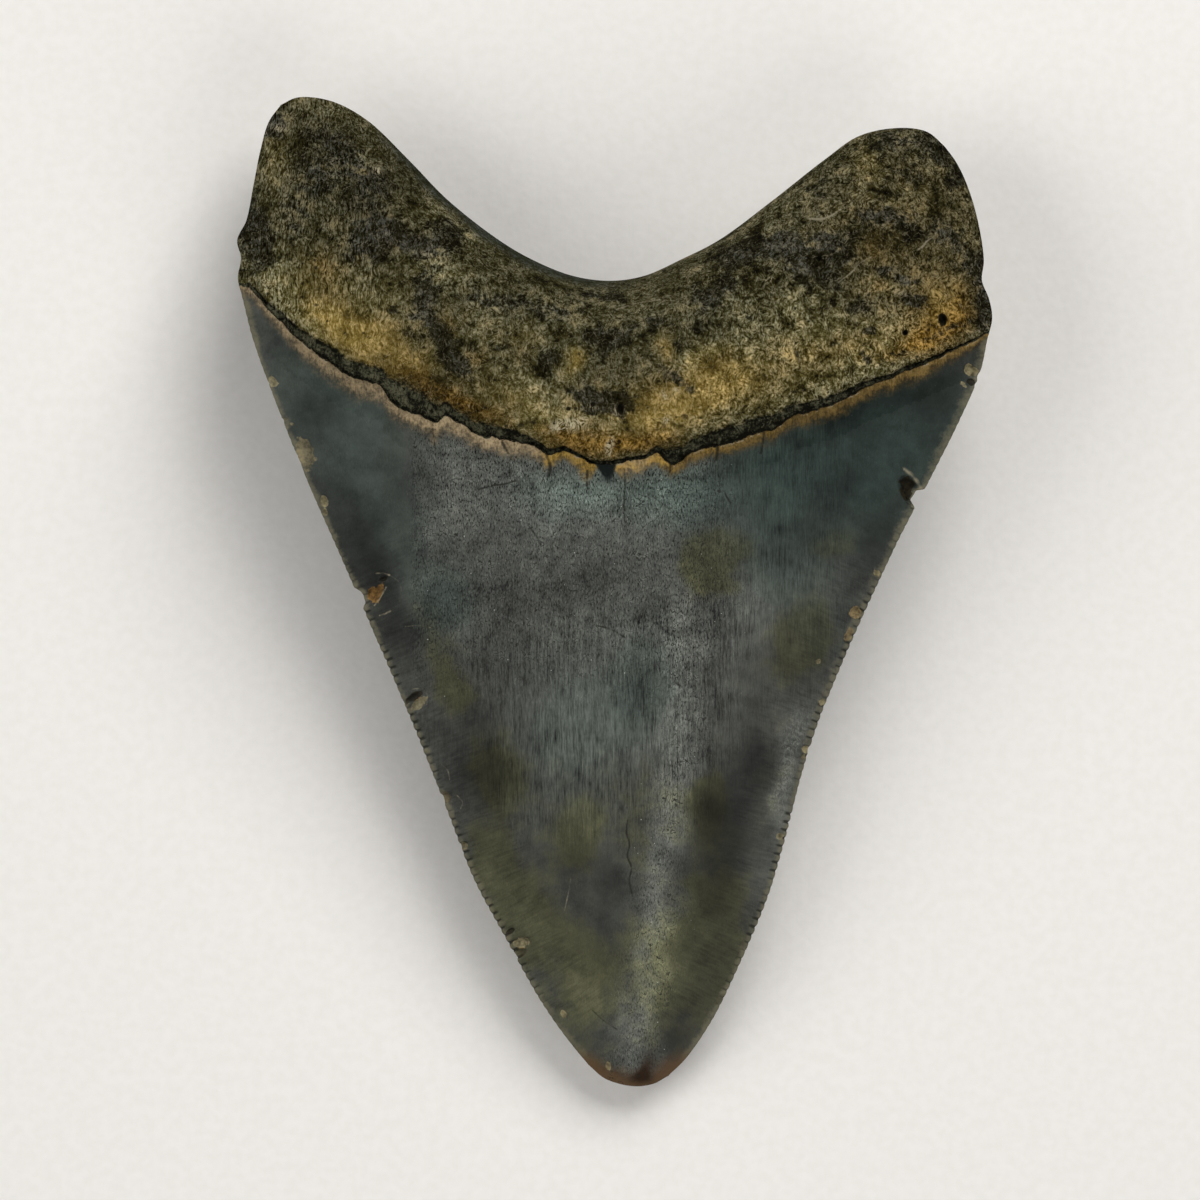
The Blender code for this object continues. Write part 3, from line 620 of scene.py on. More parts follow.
    # Lighter and darker patches of the enamel's tone, in thousandths. The narrow lighter band by the right edge, near
    # x 17 to 19 and y -13 to -23, is painted sheen over scuffs.
    enamel_tone_and_sheen: tuple = each(
        Patch, (-27, 12, 8, 14, -12, 24), (23, 14, 10, 9, -14), (-11, -7.4, 3.6, 3.4, -12), (4, 6, 2.6, 5, 18),
        (9.6, 8.6, 2.6, 3, -14), (9.5, 2.7, 2.8, 3.2, -22), (-10.6, 7.4, 2.4, 3, -8), (-11, -1, 3, 4, -8),
        (22, 6, 3.6, 4, -10), (-6, 7.4, 10.5, 6, 20), (-3, 9.6, 5.5, 2.6, 32), (7, 9.4, 4.6, 3.2, 24),
        (-12, 3, 7, 9, 12), (-2, -6, 14, 9, 10), (-29.6, 18.8, 4.2, 2.8, -24, 35), (27.4, 14.6, 4.4, 3, 6, 20),
        (28, 16, 9.5, 9, -26), (-27, 6.6, 3, 8, -22, 24), (-23.2, -.5, 2, 6, -20, 24),
        (-13.4, -18.2, 4.4, 7, -28, 14), (-21, -4, 3.6, 3.4, -18), (12.2, -20.6, 3.2, 7.6, -22, -8),
        (26.2, 4.6, 2, 6, -20, -26), (20.6, -7, 2.4, 6, -10, -20), (16.9, -17.8, 1, 4.6, 46, -12),
        (18.5, -13.4, 1.4, 2.4, 20, -20), (16.9, -23, 1.2, 3.4, 20, -12), (-2.3, -24.2, 2.4, 1.5, 18, -25),
        (-2.6, -27.8, 4.2, 3.6, -22), (-1.6, -38.6, 3.6, 4.4, 22), (10.2, -36.6, 2.6, 5, -22),
        (7.4, -41.6, 2.4, 3.4, -16, -25), (-3.4, -42, 2.8, 2.8, -4), (-.8, 4, 1.6, 2.4, -12),
        (2.6, -10, 3, 4.6, -8), (-24, 12, 4, 7, 4, 20), (-33.6, 24, 2.6, 4, -10, 35), (-15.6, -8, 3, 6, -10, 20),
        (7.5, 5, 3, 4, -6), (13, 9.6, 4, 4.6, -10), (14.4, -16.4, 2, 4.6, -20, -12),
        (18.4, -5.4, 3.2, 4.8, -22, -24), (-11.8, -17.4, 2.4, 3.6, -8, 10), (17, -20, 1, 4, 14, -12),
        (5.2, -12, 2.2, 9, 16, -3), (-4.4, -16, 3.4, 6, 12), (-.6, -32, 1.4, 6, -18),
        (-5.2, -34.6, 2.2, 2.6, -12), (10.2, -24.6, 3, 6.4, -24), (-11.4, 5, 3.6, 3.6, -16),
        (-27, 13.6, 2.6, 3.4, 12, 24), (-24.2, 6.4, 1.6, 6, -12, 24), (-3, -14.6, 5.4, 4.4, 24),
        (13.8, -15, 1.4, 3, -10), (10.4, -30, 2.4, 3, -14), (1.2, -2.6, 2.8, 3.6, 24), (0, -8, 1.2, 2.4, 24),
        (-8, -2, 1.4, 2, -12), (8.2, -2.2, 1.1, 2, -18), (14, -2.2, 2.4, 2.4, 20), (3.4, 3.6, 1.8, 2.4, 16),
        (10.4, 4.4, 1.6, 1.4, 22), (-21.2, 8.8, 2.4, 3, -22), (-16, 12.8, 2.2, 2, 18),
        (-11.2, 11.4, 2.8, 1.6, 26), (32, 19.4, 2.8, 2.2, -18, 25), (27.6, 13, 2.8, 3.4, 12),
        (18.8, 6.6, 2.6, 2.6, -14), (5.8, -45, 1.3, 2.2, -26), (9, -21, 1.5, 2.6, -14),
        (8.4, -29.3, .6, .8, -10), (3.4, -29, 1.6, 2.4, 14), (5.8, -41, 2.2, 2.6, 12), (-3.2, -40, 2.8, 2.6, 12),
        (13.6, -3, 2.2, 3.4, 12), (13, -12.6, 3, 3.6, 10), (7.6, 8.4, 2, 2, -6), (4.2, -40.6, 1.4, 3, 10),
    )
    # Painted sheen: a lighter band of enamel tone along the crest line, standing in for the light's reflection there;
    # the crest's low ridge is also cut in the mesh.
    painted_crest_sheen: tuple = (
        (-48, .05), (-40, .066), (-34, .074), (-26, .056), (-15, .058), (-5, .034), (4, 0),
    )
    crest_line: tuple = (
        (-48, 1.7), (-44, 2.2), (-40, 3), (-35, 4.1), (-30, 4.2), (-25, 4.9), (-20, 5.5), (-15, 6.5), (-5, 6.6),
        (5, 6.6),
    )
    enamel_end: tuple = (
        (-37.2, .9), (-36.5, 1.4), (-34.8, 1.35), (-33.4, 1.05), (-31.7, .7), (-30, .5), (-28.4, .35),
        (-26.1, .2), (-24.4, .45), (-23.1, .5), (-22.6, -.15), (-21.6, -.4), (-20.4, -.3), (-18.8, -.15),
        (-17.6, .1), (-17.1, .65), (-16, .75), (-14.9, .5), (-14, .1), (-11.5, .1), (-7.5, -.05), (-6.7, -.4),
        (-5.5, .05), (-4.4, .3), (-3.4, .1), (-2.4, -.05), (-.9, .1), (1, .1), (2.6, .15), (3.6, .25),
        (4.4, .15), (5, -.5), (5.8, -1.25), (6.6, -1), (8, -.5), (10.5, -.6), (12.5, -.65), (14.4, -.5),
        (16, -.7), (17.1, -.25), (18.1, -.1), (19.6, -.35), (22.5, -.5), (24.1, -.35), (26, -.15), (31.8, 0),
        (33.8, .3), (35.7, .5), (37.2, .6),
    )
    strip_width: tuple = (
        (-37.2, .25), (-34.8, .5), (-33, .8), (-31, 1), (-29, 1.35), (-27, 1.5), (-25, 1.5), (-23.3, 1.6),
        (-21.6, 2.3), (-20.2, 2.3), (-18.8, 2), (-17.1, 1.3), (-15.1, 1.1), (-13.2, 1.25), (-9.5, 1),
        (-7.5, .75), (-5.5, .5), (-2.5, .35), (.5, .4), (3.6, .5), (5, 1), (5.8, 1.6), (6.6, 1.4), (8.5, 1.25),
        (10.5, 1.5), (12.5, 1.6), (14.4, 1.55), (16.3, 1.4), (18.3, 1), (20.2, .95), (24, .7), (27, .45),
        (31, .42), (34.7, .25), (37.2, .2),
    )
    lower_light: tuple = (
        (-36, .03), (-24, .034), (-20.5, -.006), (-15.5, -.004), (-12, .018), (-8, .03), (-4, .006), (0, .022),
        (4, .006), (8, .016), (12, .03), (17, .038), (28, .034), (34, .01),
    )
    rind_width: tuple = (
        (-37, .6), (-34, .8), (-31, 1.3), (-24, 1.5), (-21, 1.2), (-17.5, 1.5), (-16, 1.45), (-10.5, 1.3),
        (-8.5, 1.2), (-6.8, 1.25), (-5.8, .9), (-4.8, .75), (-3.8, 1.2), (-2.9, 1.7), (-2, .9), (-1.6, .3),
        (-.2, .3), (.5, 1.2), (1.6, 1.5), (2.6, 1.3), (4.2, 1.05), (6, 1), (8, .95), (14, 1.1), (18, 1.15),
        (22, 1.2), (26, 1.1), (31, 1.2), (34, .9), (37, .5),
    )
    rind_hue: tuple = (
        (-37, 0), (-11, 0), (-8, .15), (-6.4, .5), (4.6, .55), (5.8, .85), (9, .8), (14, .82), (19, .95),
        (37, 1),
    )
    rind_light: tuple = (
        (-34, .85), (-22, 1), (-16.5, 1.3), (-10, 1.22), (-6, 1), (4, 1.1), (6, .95), (37, .95),
    )
    plug_half_width: tuple = ((10.4, 0), (10.9, .2), (11.8, .6), (12.6, 1), (13.4, 1.15))
    plug_middle: tuple = ((10.9, -.72), (13.3, -.88))
    blood: tuple = each(Patch, (3.2, -47.7, .6, 1.3, .9, -24), (2.5, -48.9, 1.1, .8, 1))
    # Scuffs by the right edge, where painted sheen lies too: this mask lightens the enamel there in streaks, as along
    # the crest.
    scuffs: tuple = each(Patch, (16.9, -18.2, 1.1, 4.6, 1, -12), (18.5, -13.4, 1.5, 2.2, .6, -20))
    olive_enamel: tuple = each(
        Patch, (9.3, 2.7, 2.7, 3.2, 1.2), (21.8, 4.6, 2.4, 1.8, 1), (-12, -18, 2.6, 4, 1.1, 10),
        (-16.4, -9.4, 2.2, 3.4, .9, 24), (-3.6, -24.2, 2.2, 2.8, .9), (18.6, -4.6, 3, 4.6, 1.1, -24),
        (9.4, -21.2, 1.7, 3, .9), (8.4, -37.4, 4.4, 5.4, .9, -20), (-9.4, -31.6, 3, 5.6, .8, 24),
        (8.4, -29.3, .6, .8, 1.4), (10.6, -30, 2.6, 4.6, .5), (-12.6, -26.4, 2.2, 3.4, .6, 20),
        (-2.6, -38.6, 3.4, 5, .5), (-18.6, -3, 1.6, 3, .5, 20), (12.4, 4.4, 2.4, 1.8, .8), (0, -38, 16, 13, .4),
        (-.8, -30, 1.8, 5, -.45), (16, -17, 2, 6, .25, -12), (0, -21, 14, 6, .3),
    )
    cool_enamel: tuple = each(
        Patch, (-28.6, 19.6, 8.6, 8, .5, 30), (-23.6, 8, 4.4, 9, .45, 20), (27, 15.6, 11, 7.6, 1),
        (-3.4, 9.8, 6.6, 2.8, .45), (6.6, 9.4, 5.4, 3.4, .5), (15.4, 11.4, 6, 5, .65), (2.4, -9.6, 3.4, 5.6, .4),
        (-17, -1, 3, 3.4, .45), (-4.4, -14, 5, 7, .3), (21, -2, 4, 5, .2), (25, 8, 5, 5, .5),
        (16.6, 4, 4, 5, .5),
    )
    inner_tone: float = 0.062
    light_unit: float = 0.001
    wander: float = 0.8
    mottle: float = 0.36
    # The painted sheen band along the crest: its width, how much wider it grows from y -36 to -24, and its streaky
    # scuffs.
    crest_width: float = 1.6
    crest_widening: tuple = (0.3, -36, -24)
    crest_sheen_and_scuff: float = 5.0
    middle_from: tuple = (-20.8, -19.6)
    middle_slope: tuple = (15.5, 0.26)
    dim_right: float = 0.012
    scoop_edge: tuple = (1.3, 0.55)
    chip_reach: float = 2.2
    bowl_power: float = 2.6
    root_range: tuple = (0.008, 0.3)
    liveliness: float = 0.92

    def stains(self) -> dict[str, tuple]:
        """All groups of patches, by name: stains, tones, painted sheen and painted glints."""
        groups = {name: value for name, value in vars(self).items() if isinstance(value, tuple)}
        return {name: group for name, group in groups.items() if isinstance(group[0], Patch)}

    @staticmethod
    def on(marks: tuple, face: Face) -> list:
        """Those scoops or strokes that are on a face."""
        return [mark for mark in marks if mark.face is face]


# Shading


class Value:
    """A number or a colour that changes over a surface. Arithmetic with it places nodes."""

    def __init__(self, nodes: "Shading", socket: bpy.types.NodeSocket) -> None:
        """Holds the output of a node."""
        self.nodes, self.socket = nodes, socket

    def __add__(self, other: object) -> "Value":
        """This value and another, added."""
        return self.nodes.math("ADD", self, other)

    def __sub__(self, other: object) -> "Value":
        """This value less another."""
        return self.nodes.math("SUBTRACT", self, other)

    def __rsub__(self, other: object) -> "Value":
        """A plain number less this value."""
        return self.nodes.math("SUBTRACT", other, self)

    def __mul__(self, other: object) -> "Value":
        """This value times another."""
        return self.nodes.math("MULTIPLY", self, other)

    def __truediv__(self, other: object) -> "Value":
        """This value over another."""
        return self.nodes.math("DIVIDE", self, other)

    def __rpow__(self, other: object) -> "Value":
        """A plain number to the power of this value."""
        return self.nodes.math("POWER", other, self)

    def __abs__(self) -> "Value":
        """This value without its sign."""
        return self.nodes.math("ABSOLUTE", self)

    def ramp(self, start: float, end: float, low: float = 0.0, high: float = 1.0) -> "Value":
        """An S curve from low at start to high at end."""
        inputs = dict(enumerate((self, start, end, low, high)))
        return self.nodes.get("ShaderNodeMapRange", inputs, interpolation_type="SMOOTHSTEP")

    def blend(self, first: object, second: object) -> "Value":
        """The first colour where this value is 0, and the second where it is 1."""
        return self.nodes.get("ShaderNodeMix", {0: self, 6: first, 7: second}, 2, data_type="RGBA")

    def between(self, first: object, second: object) -> "Value":
        """The first number where this value is 0, and the second where it is 1."""
        return self.nodes.get("ShaderNodeMix", {0: self, 2: first, 3: second}, data_type="FLOAT")

    def scaled(self, factor: object) -> "Value":
        """This colour or vector times a number."""
        return self.nodes.vector("SCALE", self, Scale=factor)

    def stretched(self, size: float, along_y: float = 1.0, shift: float = 0.0) -> "Value":
        """These coordinates in lumps of a size, which are longer along Y."""
        return self.lumps((size, size * along_y, size), shift=shift)

    def lumps(self, sizes: tuple, turn: float = 0.0, shift: float = 0.0) -> "Value":
        """These coordinates in lumps with a size each way, after a turn in degrees about Z."""
        return self.nodes.get("ShaderNodeMapping", {
            "Vector": self, "Location": (shift,) * 3, "Rotation": (0.0, 0.0, math.radians(turn)),
            "Scale": tuple(1 / size for size in sizes)})

    def noise(self, detail: float, roughness: float, flat: bool = False) -> "Value":
        """Smooth noise from 0 to 1 at these coordinates, in lumps of one unit, and without Z if flat."""
        inputs = {"Vector": self, "Scale": 1.0, "Detail": detail, "Roughness": roughness}
        return self.nodes.get("ShaderNodeTexNoise", inputs, noise_dimensions="2D" if flat else "3D")

    def parts(self) -> list["Value"]:
        """The three parts of this colour."""
        return self.nodes.all("ShaderNodeSeparateColor", {"Color": self})


class Shading:
    """Places nodes in one node tree and joins them."""

    def __init__(self, tree: bpy.types.NodeTree) -> None:
        """Takes a node tree."""
        self.tree = tree

    def place(self, kind: str, inputs: dict | None = None, **settings: object) -> bpy.types.Node:
        """Adds a node.

        Args:
            kind: The node's type.
            inputs: Numbers or values for its inputs, by name or place.
            settings: Its other settings.

        Returns:
            The node.
        """
        node = self.tree.nodes.new(kind)
        for name, setting in settings.items():
            setattr(node, name, setting)
        for key, value in (inputs or {}).items():
            self.feed(node.inputs[key], value)
        return node

    def get(self, kind: str, inputs: dict | None = None, output: int | str = 0, **settings: object) -> Value:
        """Adds a node and reads one of its outputs."""
        return Value(self, self.place(kind, inputs, **settings).outputs[output])

    def all(self, kind: str, inputs: dict | None = None, **settings: object) -> list[Value]:
        """Adds a node and reads all of its outputs."""
        return [Value(self, socket) for socket in self.place(kind, inputs, **settings).outputs]

    def feed(self, socket: bpy.types.NodeSocket, value: object) -> None:
        """Gives a socket a plain number or colour, or joins a value to it.

        Args:
            socket: An input of a node.
            value: What it gets.
        """
        if isinstance(value, Value):
            self.tree.links.new(value.socket, socket)
        elif socket.type == "RGBA":
            socket.default_value = (*value, 1.0)
        else:
            socket.default_value = value

    def math(self, operation: str, *values: object) -> Value:
        """The result of a Math node."""
        return self.get("ShaderNodeMath", dict(enumerate(values)), operation=operation)

    def vector(self, operation: str, *values: object, **named: object) -> Value:
        """The result of a Vector Math node."""
        return self.get("ShaderNodeVectorMath", {**dict(enumerate(values)), **named}, operation=operation)

    def joined(self, *values: object) -> Value:
        """A vector of two or three numbers."""
        return self.get("ShaderNodeCombineXYZ", dict(enumerate(values)))

    def mask(self, name: str) -> Value:
        """A named value of the mesh."""
        return self.get("ShaderNodeAttribute", None, "Fac", attribute_type="GEOMETRY", attribute_name=name)

    def use(self, group: bpy.types.NodeTree, **inputs: object) -> list[Value]:
        """Places a node group, feeds its inputs and reads its outputs."""
        return self.all("ShaderNodeGroup", inputs, node_tree=group)


class Group(Shading):
    """A shader node group with named inputs and outputs."""

    def __init__(self, name: str, outputs: Sequence[str], **inputs: str) -> None:
        """Starts the group.

        Args:
            name: The group's name.
            outputs: The names of the numbers that it puts out.
            inputs: Its inputs' names, with Float or Vector.
        """
        super().__init__(bpy.data.node_groups.new(name, "ShaderNodeTree"))
        for key, kind in inputs.items():
            self.tree.interface.new_socket(name=key, in_out="INPUT", socket_type=f"NodeSocket{kind}")
        for key in outputs:
            self.tree.interface.new_socket(name=key, in_out="OUTPUT", socket_type="NodeSocketFloat")
        self.end = self.place("NodeGroupOutput")
        self.given = dict(zip(inputs, self.all("NodeGroupInput")))

    def give(self, name: str, value: Value) -> None:
        """Puts out a number."""
        self.feed(self.end.inputs[name], value)


class Effects:
    """The node groups that the finishes share, each built once. Their Vector is in millimetres."""

    GRAINS = {"Fine": 0.3, "Coarse": 1.1, "Cloud": 3.4}
    GRAIN_SPREAD = 3.4
    SPECK_CELL = 0.3
    SPECK_RADIUS = (0.16, 0.07)
    STRAND_SPREAD = 9.0
    STREAKS = ((0.13, 9.0, 2.6), (0.26, 14.0, 1.8), (0.8, 9.0, 1.2))

    def __init__(self) -> None:
        """Builds the groups."""
        self.grain, self.specks = self._grain(), self._specks()
        self.strands, self.streaks = self._strands(), self._streaks()

    def _grain(self) -> bpy.types.NodeTree:
        """Uneven grain of three sizes, each about -1 to 1.

        Returns:
            The group's tree.
        """
        group = Group("grain", tuple(self.GRAINS), Vector="Vector")
        for name, size in self.GRAINS.items():
            noise = group.given["Vector"].stretched(size, 1.0, size * 11).noise(1, 0.55)
            group.give(name, noise * self.GRAIN_SPREAD - self.GRAIN_SPREAD / 2)
        return group.tree

    def _specks(self) -> bpy.types.NodeTree:
        """Scattered round specks: 1 in a speck. Share is how many of the cells have one.

        Returns:
            The group's tree.
        """
        group = Group("specks", ("Value",), Vector="Vector", Size="Float", Share="Float")
        vector = group.given["Vector"].scaled(group.math("DIVIDE", self.SPECK_CELL, group.given["Size"]))
        cells = group.all("ShaderNodeTexVoronoi", {"Vector": vector, "Scale": 1.0}, voronoi_dimensions="2D")
        distance, colour = cells[:2]
        pick, wide = colour.parts()[:2]
        spread, least = self.SPECK_RADIUS
        near = 1 - distance / (wide * spread + least)
        group.give("Value", near.ramp(0, 0.6) * group.math("LESS_THAN", pick, group.given["Share"]))
        return group.tree

    def _strands(self) -> bpy.types.NodeTree:
        """Short matted strands, about -1 between them to 1 on them, and sparse long threads.

        Comb lays them along Y.

        Returns:
            The group's tree.
        """
        group = Group("strands", ("Strand", "Thread"), Vector="Vector", Comb="Float")
        vector, comb = group.given.values()
        noise = {"Vector": vector.stretched(1.3), "Scale": 1.0, "Detail": 1.0}
        sway = group.get("ShaderNodeTexNoise", noise, "Color")
        first, second, third = sway.parts()
        sway = group.vector("SUBTRACT", sway, (0.5, 0.5, 0.5)).scaled(comb * -1.0 + 1.8)
        swayed = group.vector("ADD", vector, sway)
        upright, combed = swayed.stretched(0.22, 2.6).noise(3, 0.8), swayed.stretched(0.17, 7.0).noise(2, 0.7)
        crossing = swayed.lumps((0.22, 0.5, 0.3), 68).noise(3, 0.8)
        strand = (comb * -0.2 + third).ramp(0.42, 0.58).between(comb.between(upright, combed), crossing)
        group.give("Strand", strand * self.STRAND_SPREAD - self.STRAND_SPREAD / 2)
        threads = group.math("MAXIMUM", *(abs(part - 0.5).ramp(0.014, 0) for part in (first, second)))
        group.give("Thread", threads * strand.ramp(0.4, 0.6))
        return group.tree

    def _streaks(self) -> bpy.types.NodeTree:
        """Fine streaks along Y, from -1 to 1, of three sizes and lengths, each with its weight.

        Returns:
            The group's tree.
        """
        group = Group("streaks", ("Value",), Vector="Vector")
        vector, parts = group.given["Vector"], []
        for size, length, weight in self.STREAKS:
            noise = vector.stretched(size, length, size * 31).noise(1, 0.5, flat=True)
            parts.append((noise - 0.5) * weight)
        group.give("Value", parts[0] + parts[1] + parts[2])
        return group.tree


@dataclass(frozen=True)
class Ground:
    """What a material's finishes start from: its nodes, the shared groups, coordinates and grain."""

    nodes: Shading
    effects: Effects
    place: Value
    fine: Value
    coarse: Value
    cloud: Value
    strand: Value
    thread: Value

    @classmethod
    def lay(cls, material: bpy.types.Material, effects: Effects) -> "Ground":
        """Starts a material's nodes.

        Args:
            material: A new material.
            effects: The shared groups.

        Returns:
            The ground.
        """
        material.use_nodes = True
        nodes = Shading(material.node_tree)
        place = nodes.get("ShaderNodeTexCoord", None, "Object").scaled(1 / MILLIMETRE)
        grain = nodes.use(effects.grain, Vector=place)
        felt = nodes.use(effects.strands, Vector=place, Comb=nodes.mask("comb"))
        return cls(nodes, effects, place, *grain, *felt)

    def mix(self, **weights: float) -> Value:
        """Adds up grains and masks by name, each times its weight, in the order given.

        Args:
            weights: A weight for each name.

        Returns:
            The sum.
        """
        parts = [getattr(self, name, None) or self.nodes.mask(name) for name in weights]
        parts = [part if weight == 1 else part * weight for part, weight in zip(parts, weights.values())]
        return sum(parts[1:], parts[0])

    def specks(self, size: float, share: float, shift: float = 0.0) -> Value:
        """Scattered round specks. Another shift gives other places."""
        place = self.place.stretched(1.0, 1.0, shift) if shift else self.place
        return self.nodes.use(self.effects.specks, Vector=place, Size=size, Share=share)[0]

    def finish(self, material: bpy.types.Material, gloss: float, **values: object) -> None:
        """Feeds the material's shader: its colour, its roughness, a plain gloss, and a bump from a height.

        Args:
            material: The material.
            gloss: The level of its mirror gloss.
            values: Its colour, roughness and height, in millimetres.
        """
        shader = material.node_tree.nodes["Principled BSDF"]
        bump = {"Strength": 1.0, "Distance": MILLIMETRE, "Height": values["height"]}
        self.nodes.feed(shader.inputs["Base Color"], values["colour"])
        self.nodes.feed(shader.inputs["Normal"], self.nodes.get("ShaderNodeBump", bump))
        self.nodes.feed(shader.inputs["Roughness"], values["roughness"])
        shader.inputs["Specular IOR Level"].default_value = gloss


@dataclass(frozen=True)
class Coat:
    """What a finish gives at each place: its colour, roughness and height in millimetres."""

    colour: Value
    roughness: Value
    height: Value

    def under(self, cover: Value, upper: "Coat") -> "Coat":
        """This coat with another laid over it where the cover is 1."""
        return Coat(
            cover.blend(self.colour, upper.colour),
            cover.between(self.roughness, upper.roughness),
            cover.between(self.height, upper.height),
        )


@dataclass(frozen=True)
class Enamel:
    """Smooth blue-grey enamel: cool at the sides, olive in places, with fine streaks and dark pits."""

    plain: Colour = (1.0, 1.06, 0.94)
    cool: Colour = (0.71, 1.08, 0.95)
    olive: Colour = (1.06, 1.08, 0.62)
    # Colour of rare pale specks that are painted glints.
    painted_glint_colour: Colour = (0.42, 0.44, 0.4)
    pit: Colour = (0.014, 0.015, 0.013)
    rim: Colour = (0.135, 0.126, 0.082)
    # Near black in the serration gaps: painted shade, over the small notches that the mesh cuts there.
    gap: Colour = (0.01, 0.01, 0.006)
    tip: Colour = (0.098, 0.052, 0.02)
    blood: Colour = (0.022, 0.009, 0.002)
    plug: Colour = (0.0065, 0.0095, 0.009)
    rough: tuple = (0.42, 0.58)
    dot_size: tuple = (0.14, 0.34, 1.0)
    dot_turn: float = -38
    vein_size: float = 1.7
    vein_width: tuple = (0.016, 0.005)
    fan_size: tuple = (0.32, 2.2)
    dark_dots: tuple = (0.44, 0.32)
    light_dots: tuple = (0.55, 0.74)
    dot_strength: tuple = (0.78, 0.62)
    vein_paths: tuple = (0.47, 0.06)
    vein_strength: float = 0.9
    streak_contrast: float = 0.5
    cloud_contrast: float = 0.26
    olive_range: tuple = (0.15, 0.75)
    rim_range: tuple = (0.2, 1.15)
    notch_shade_cover: tuple = (0.14, 0.5, 0, 0.85)
    tip_cover: float = 0.85
    mark_strength: float = 0.85
    relief: tuple = (0.006, 0.005)
    marks: tuple = (0.22, 0.045)
    painted_glint_specks: tuple = (0.1, 0.007, 5.0)

    def coat(self, ground: Ground) -> Coat:
        """Lays the finish on a ground.

        Args:
            ground: The material's ground.

        Returns:
            The coat.
        """
        nodes, mask, fine, coarse = ground.nodes, ground.nodes.mask, ground.fine, ground.coarse
        streak = nodes.use(ground.effects.streaks, Vector=ground.place)[0] * mask("streak")
        speck = mask("speck")
        dots = ground.place.lumps(self.dot_size, self.dot_turn).noise(2, 0.7, flat=True) + coarse * 0.035
        darker, lighter = self.dot_strength
        dark = dots.ramp(*self.dark_dots) * speck * darker
        light = dots.ramp(*self.light_dots) * (speck * lighter + 0.1)
        veins = ground.place.stretched(self.vein_size, 1.0, 3.0).noise(2, 0.6, flat=True)
        middle, apart = self.vein_paths
        veins = abs(abs(veins - middle) - apart).ramp(*self.vein_width)
        veins = veins * coarse.ramp(0.05, 0.35) * speck.ramp(0.1, 0.8) * self.vein_strength
        wide, long = self.fan_size
        inward = nodes.joined(mask("run") * (1 / wide), mask("gap") * (1 / long))
        fan = (inward.noise(2, 0.65, flat=True) - 0.5) * mask("fan")
        varied = fan + 0.94 + fine * (speck * 0.1 + 0.06) + coarse * (speck * 0.17 + 0.15)
        varied = varied + ground.cloud * self.cloud_contrast + streak * self.streak_contrast + light
        # Scuffs and painted sheen: streaky lightening along the crest and by the right edge.
        varied = varied + mask("scuff") * ground.strand.ramp(-0.2, 1.1, 0, 0.8)
        olive = ground.mix(cloud=0.22, coarse=0.12, olive=1).ramp(*self.olive_range)
        tint = mask("cool").blend(olive.blend(self.plain, self.olive), self.cool)
        colour = tint.scaled(mask("tone") * varied * (1 - dark))
        colour = ground.mix(rim=1, fine=0.15, coarse=0.2).ramp(*self.rim_range).blend(colour, self.rim)
        # Painted shade in the serration gaps.
        colour = mask("tick").ramp(*self.notch_shade_cover).blend(colour, self.gap)
        colour = (mask("tip") * self.tip_cover).blend(colour, self.tip)
        colour = mask("blood").blend(colour, self.blood)
        colour = mask("plug").blend(colour, self.plug)
        marks = ground.specks(*self.marks) * speck * self.mark_strength
        colour = nodes.math("MAXIMUM", veins, marks).blend(colour, self.pit)
        # Rare pale specks: painted glints on the enamel.
        painted_glint_specks = ground.specks(*self.painted_glint_specks) * speck.ramp(0.1, 0.5)
        colour = painted_glint_specks.blend(colour, self.painted_glint_colour)
        height = streak * self.relief[0] + fine * self.relief[1]
        return Coat(colour, ground.mix(cloud=1, fine=1).ramp(-1.2, 1.2, *self.rough), height)


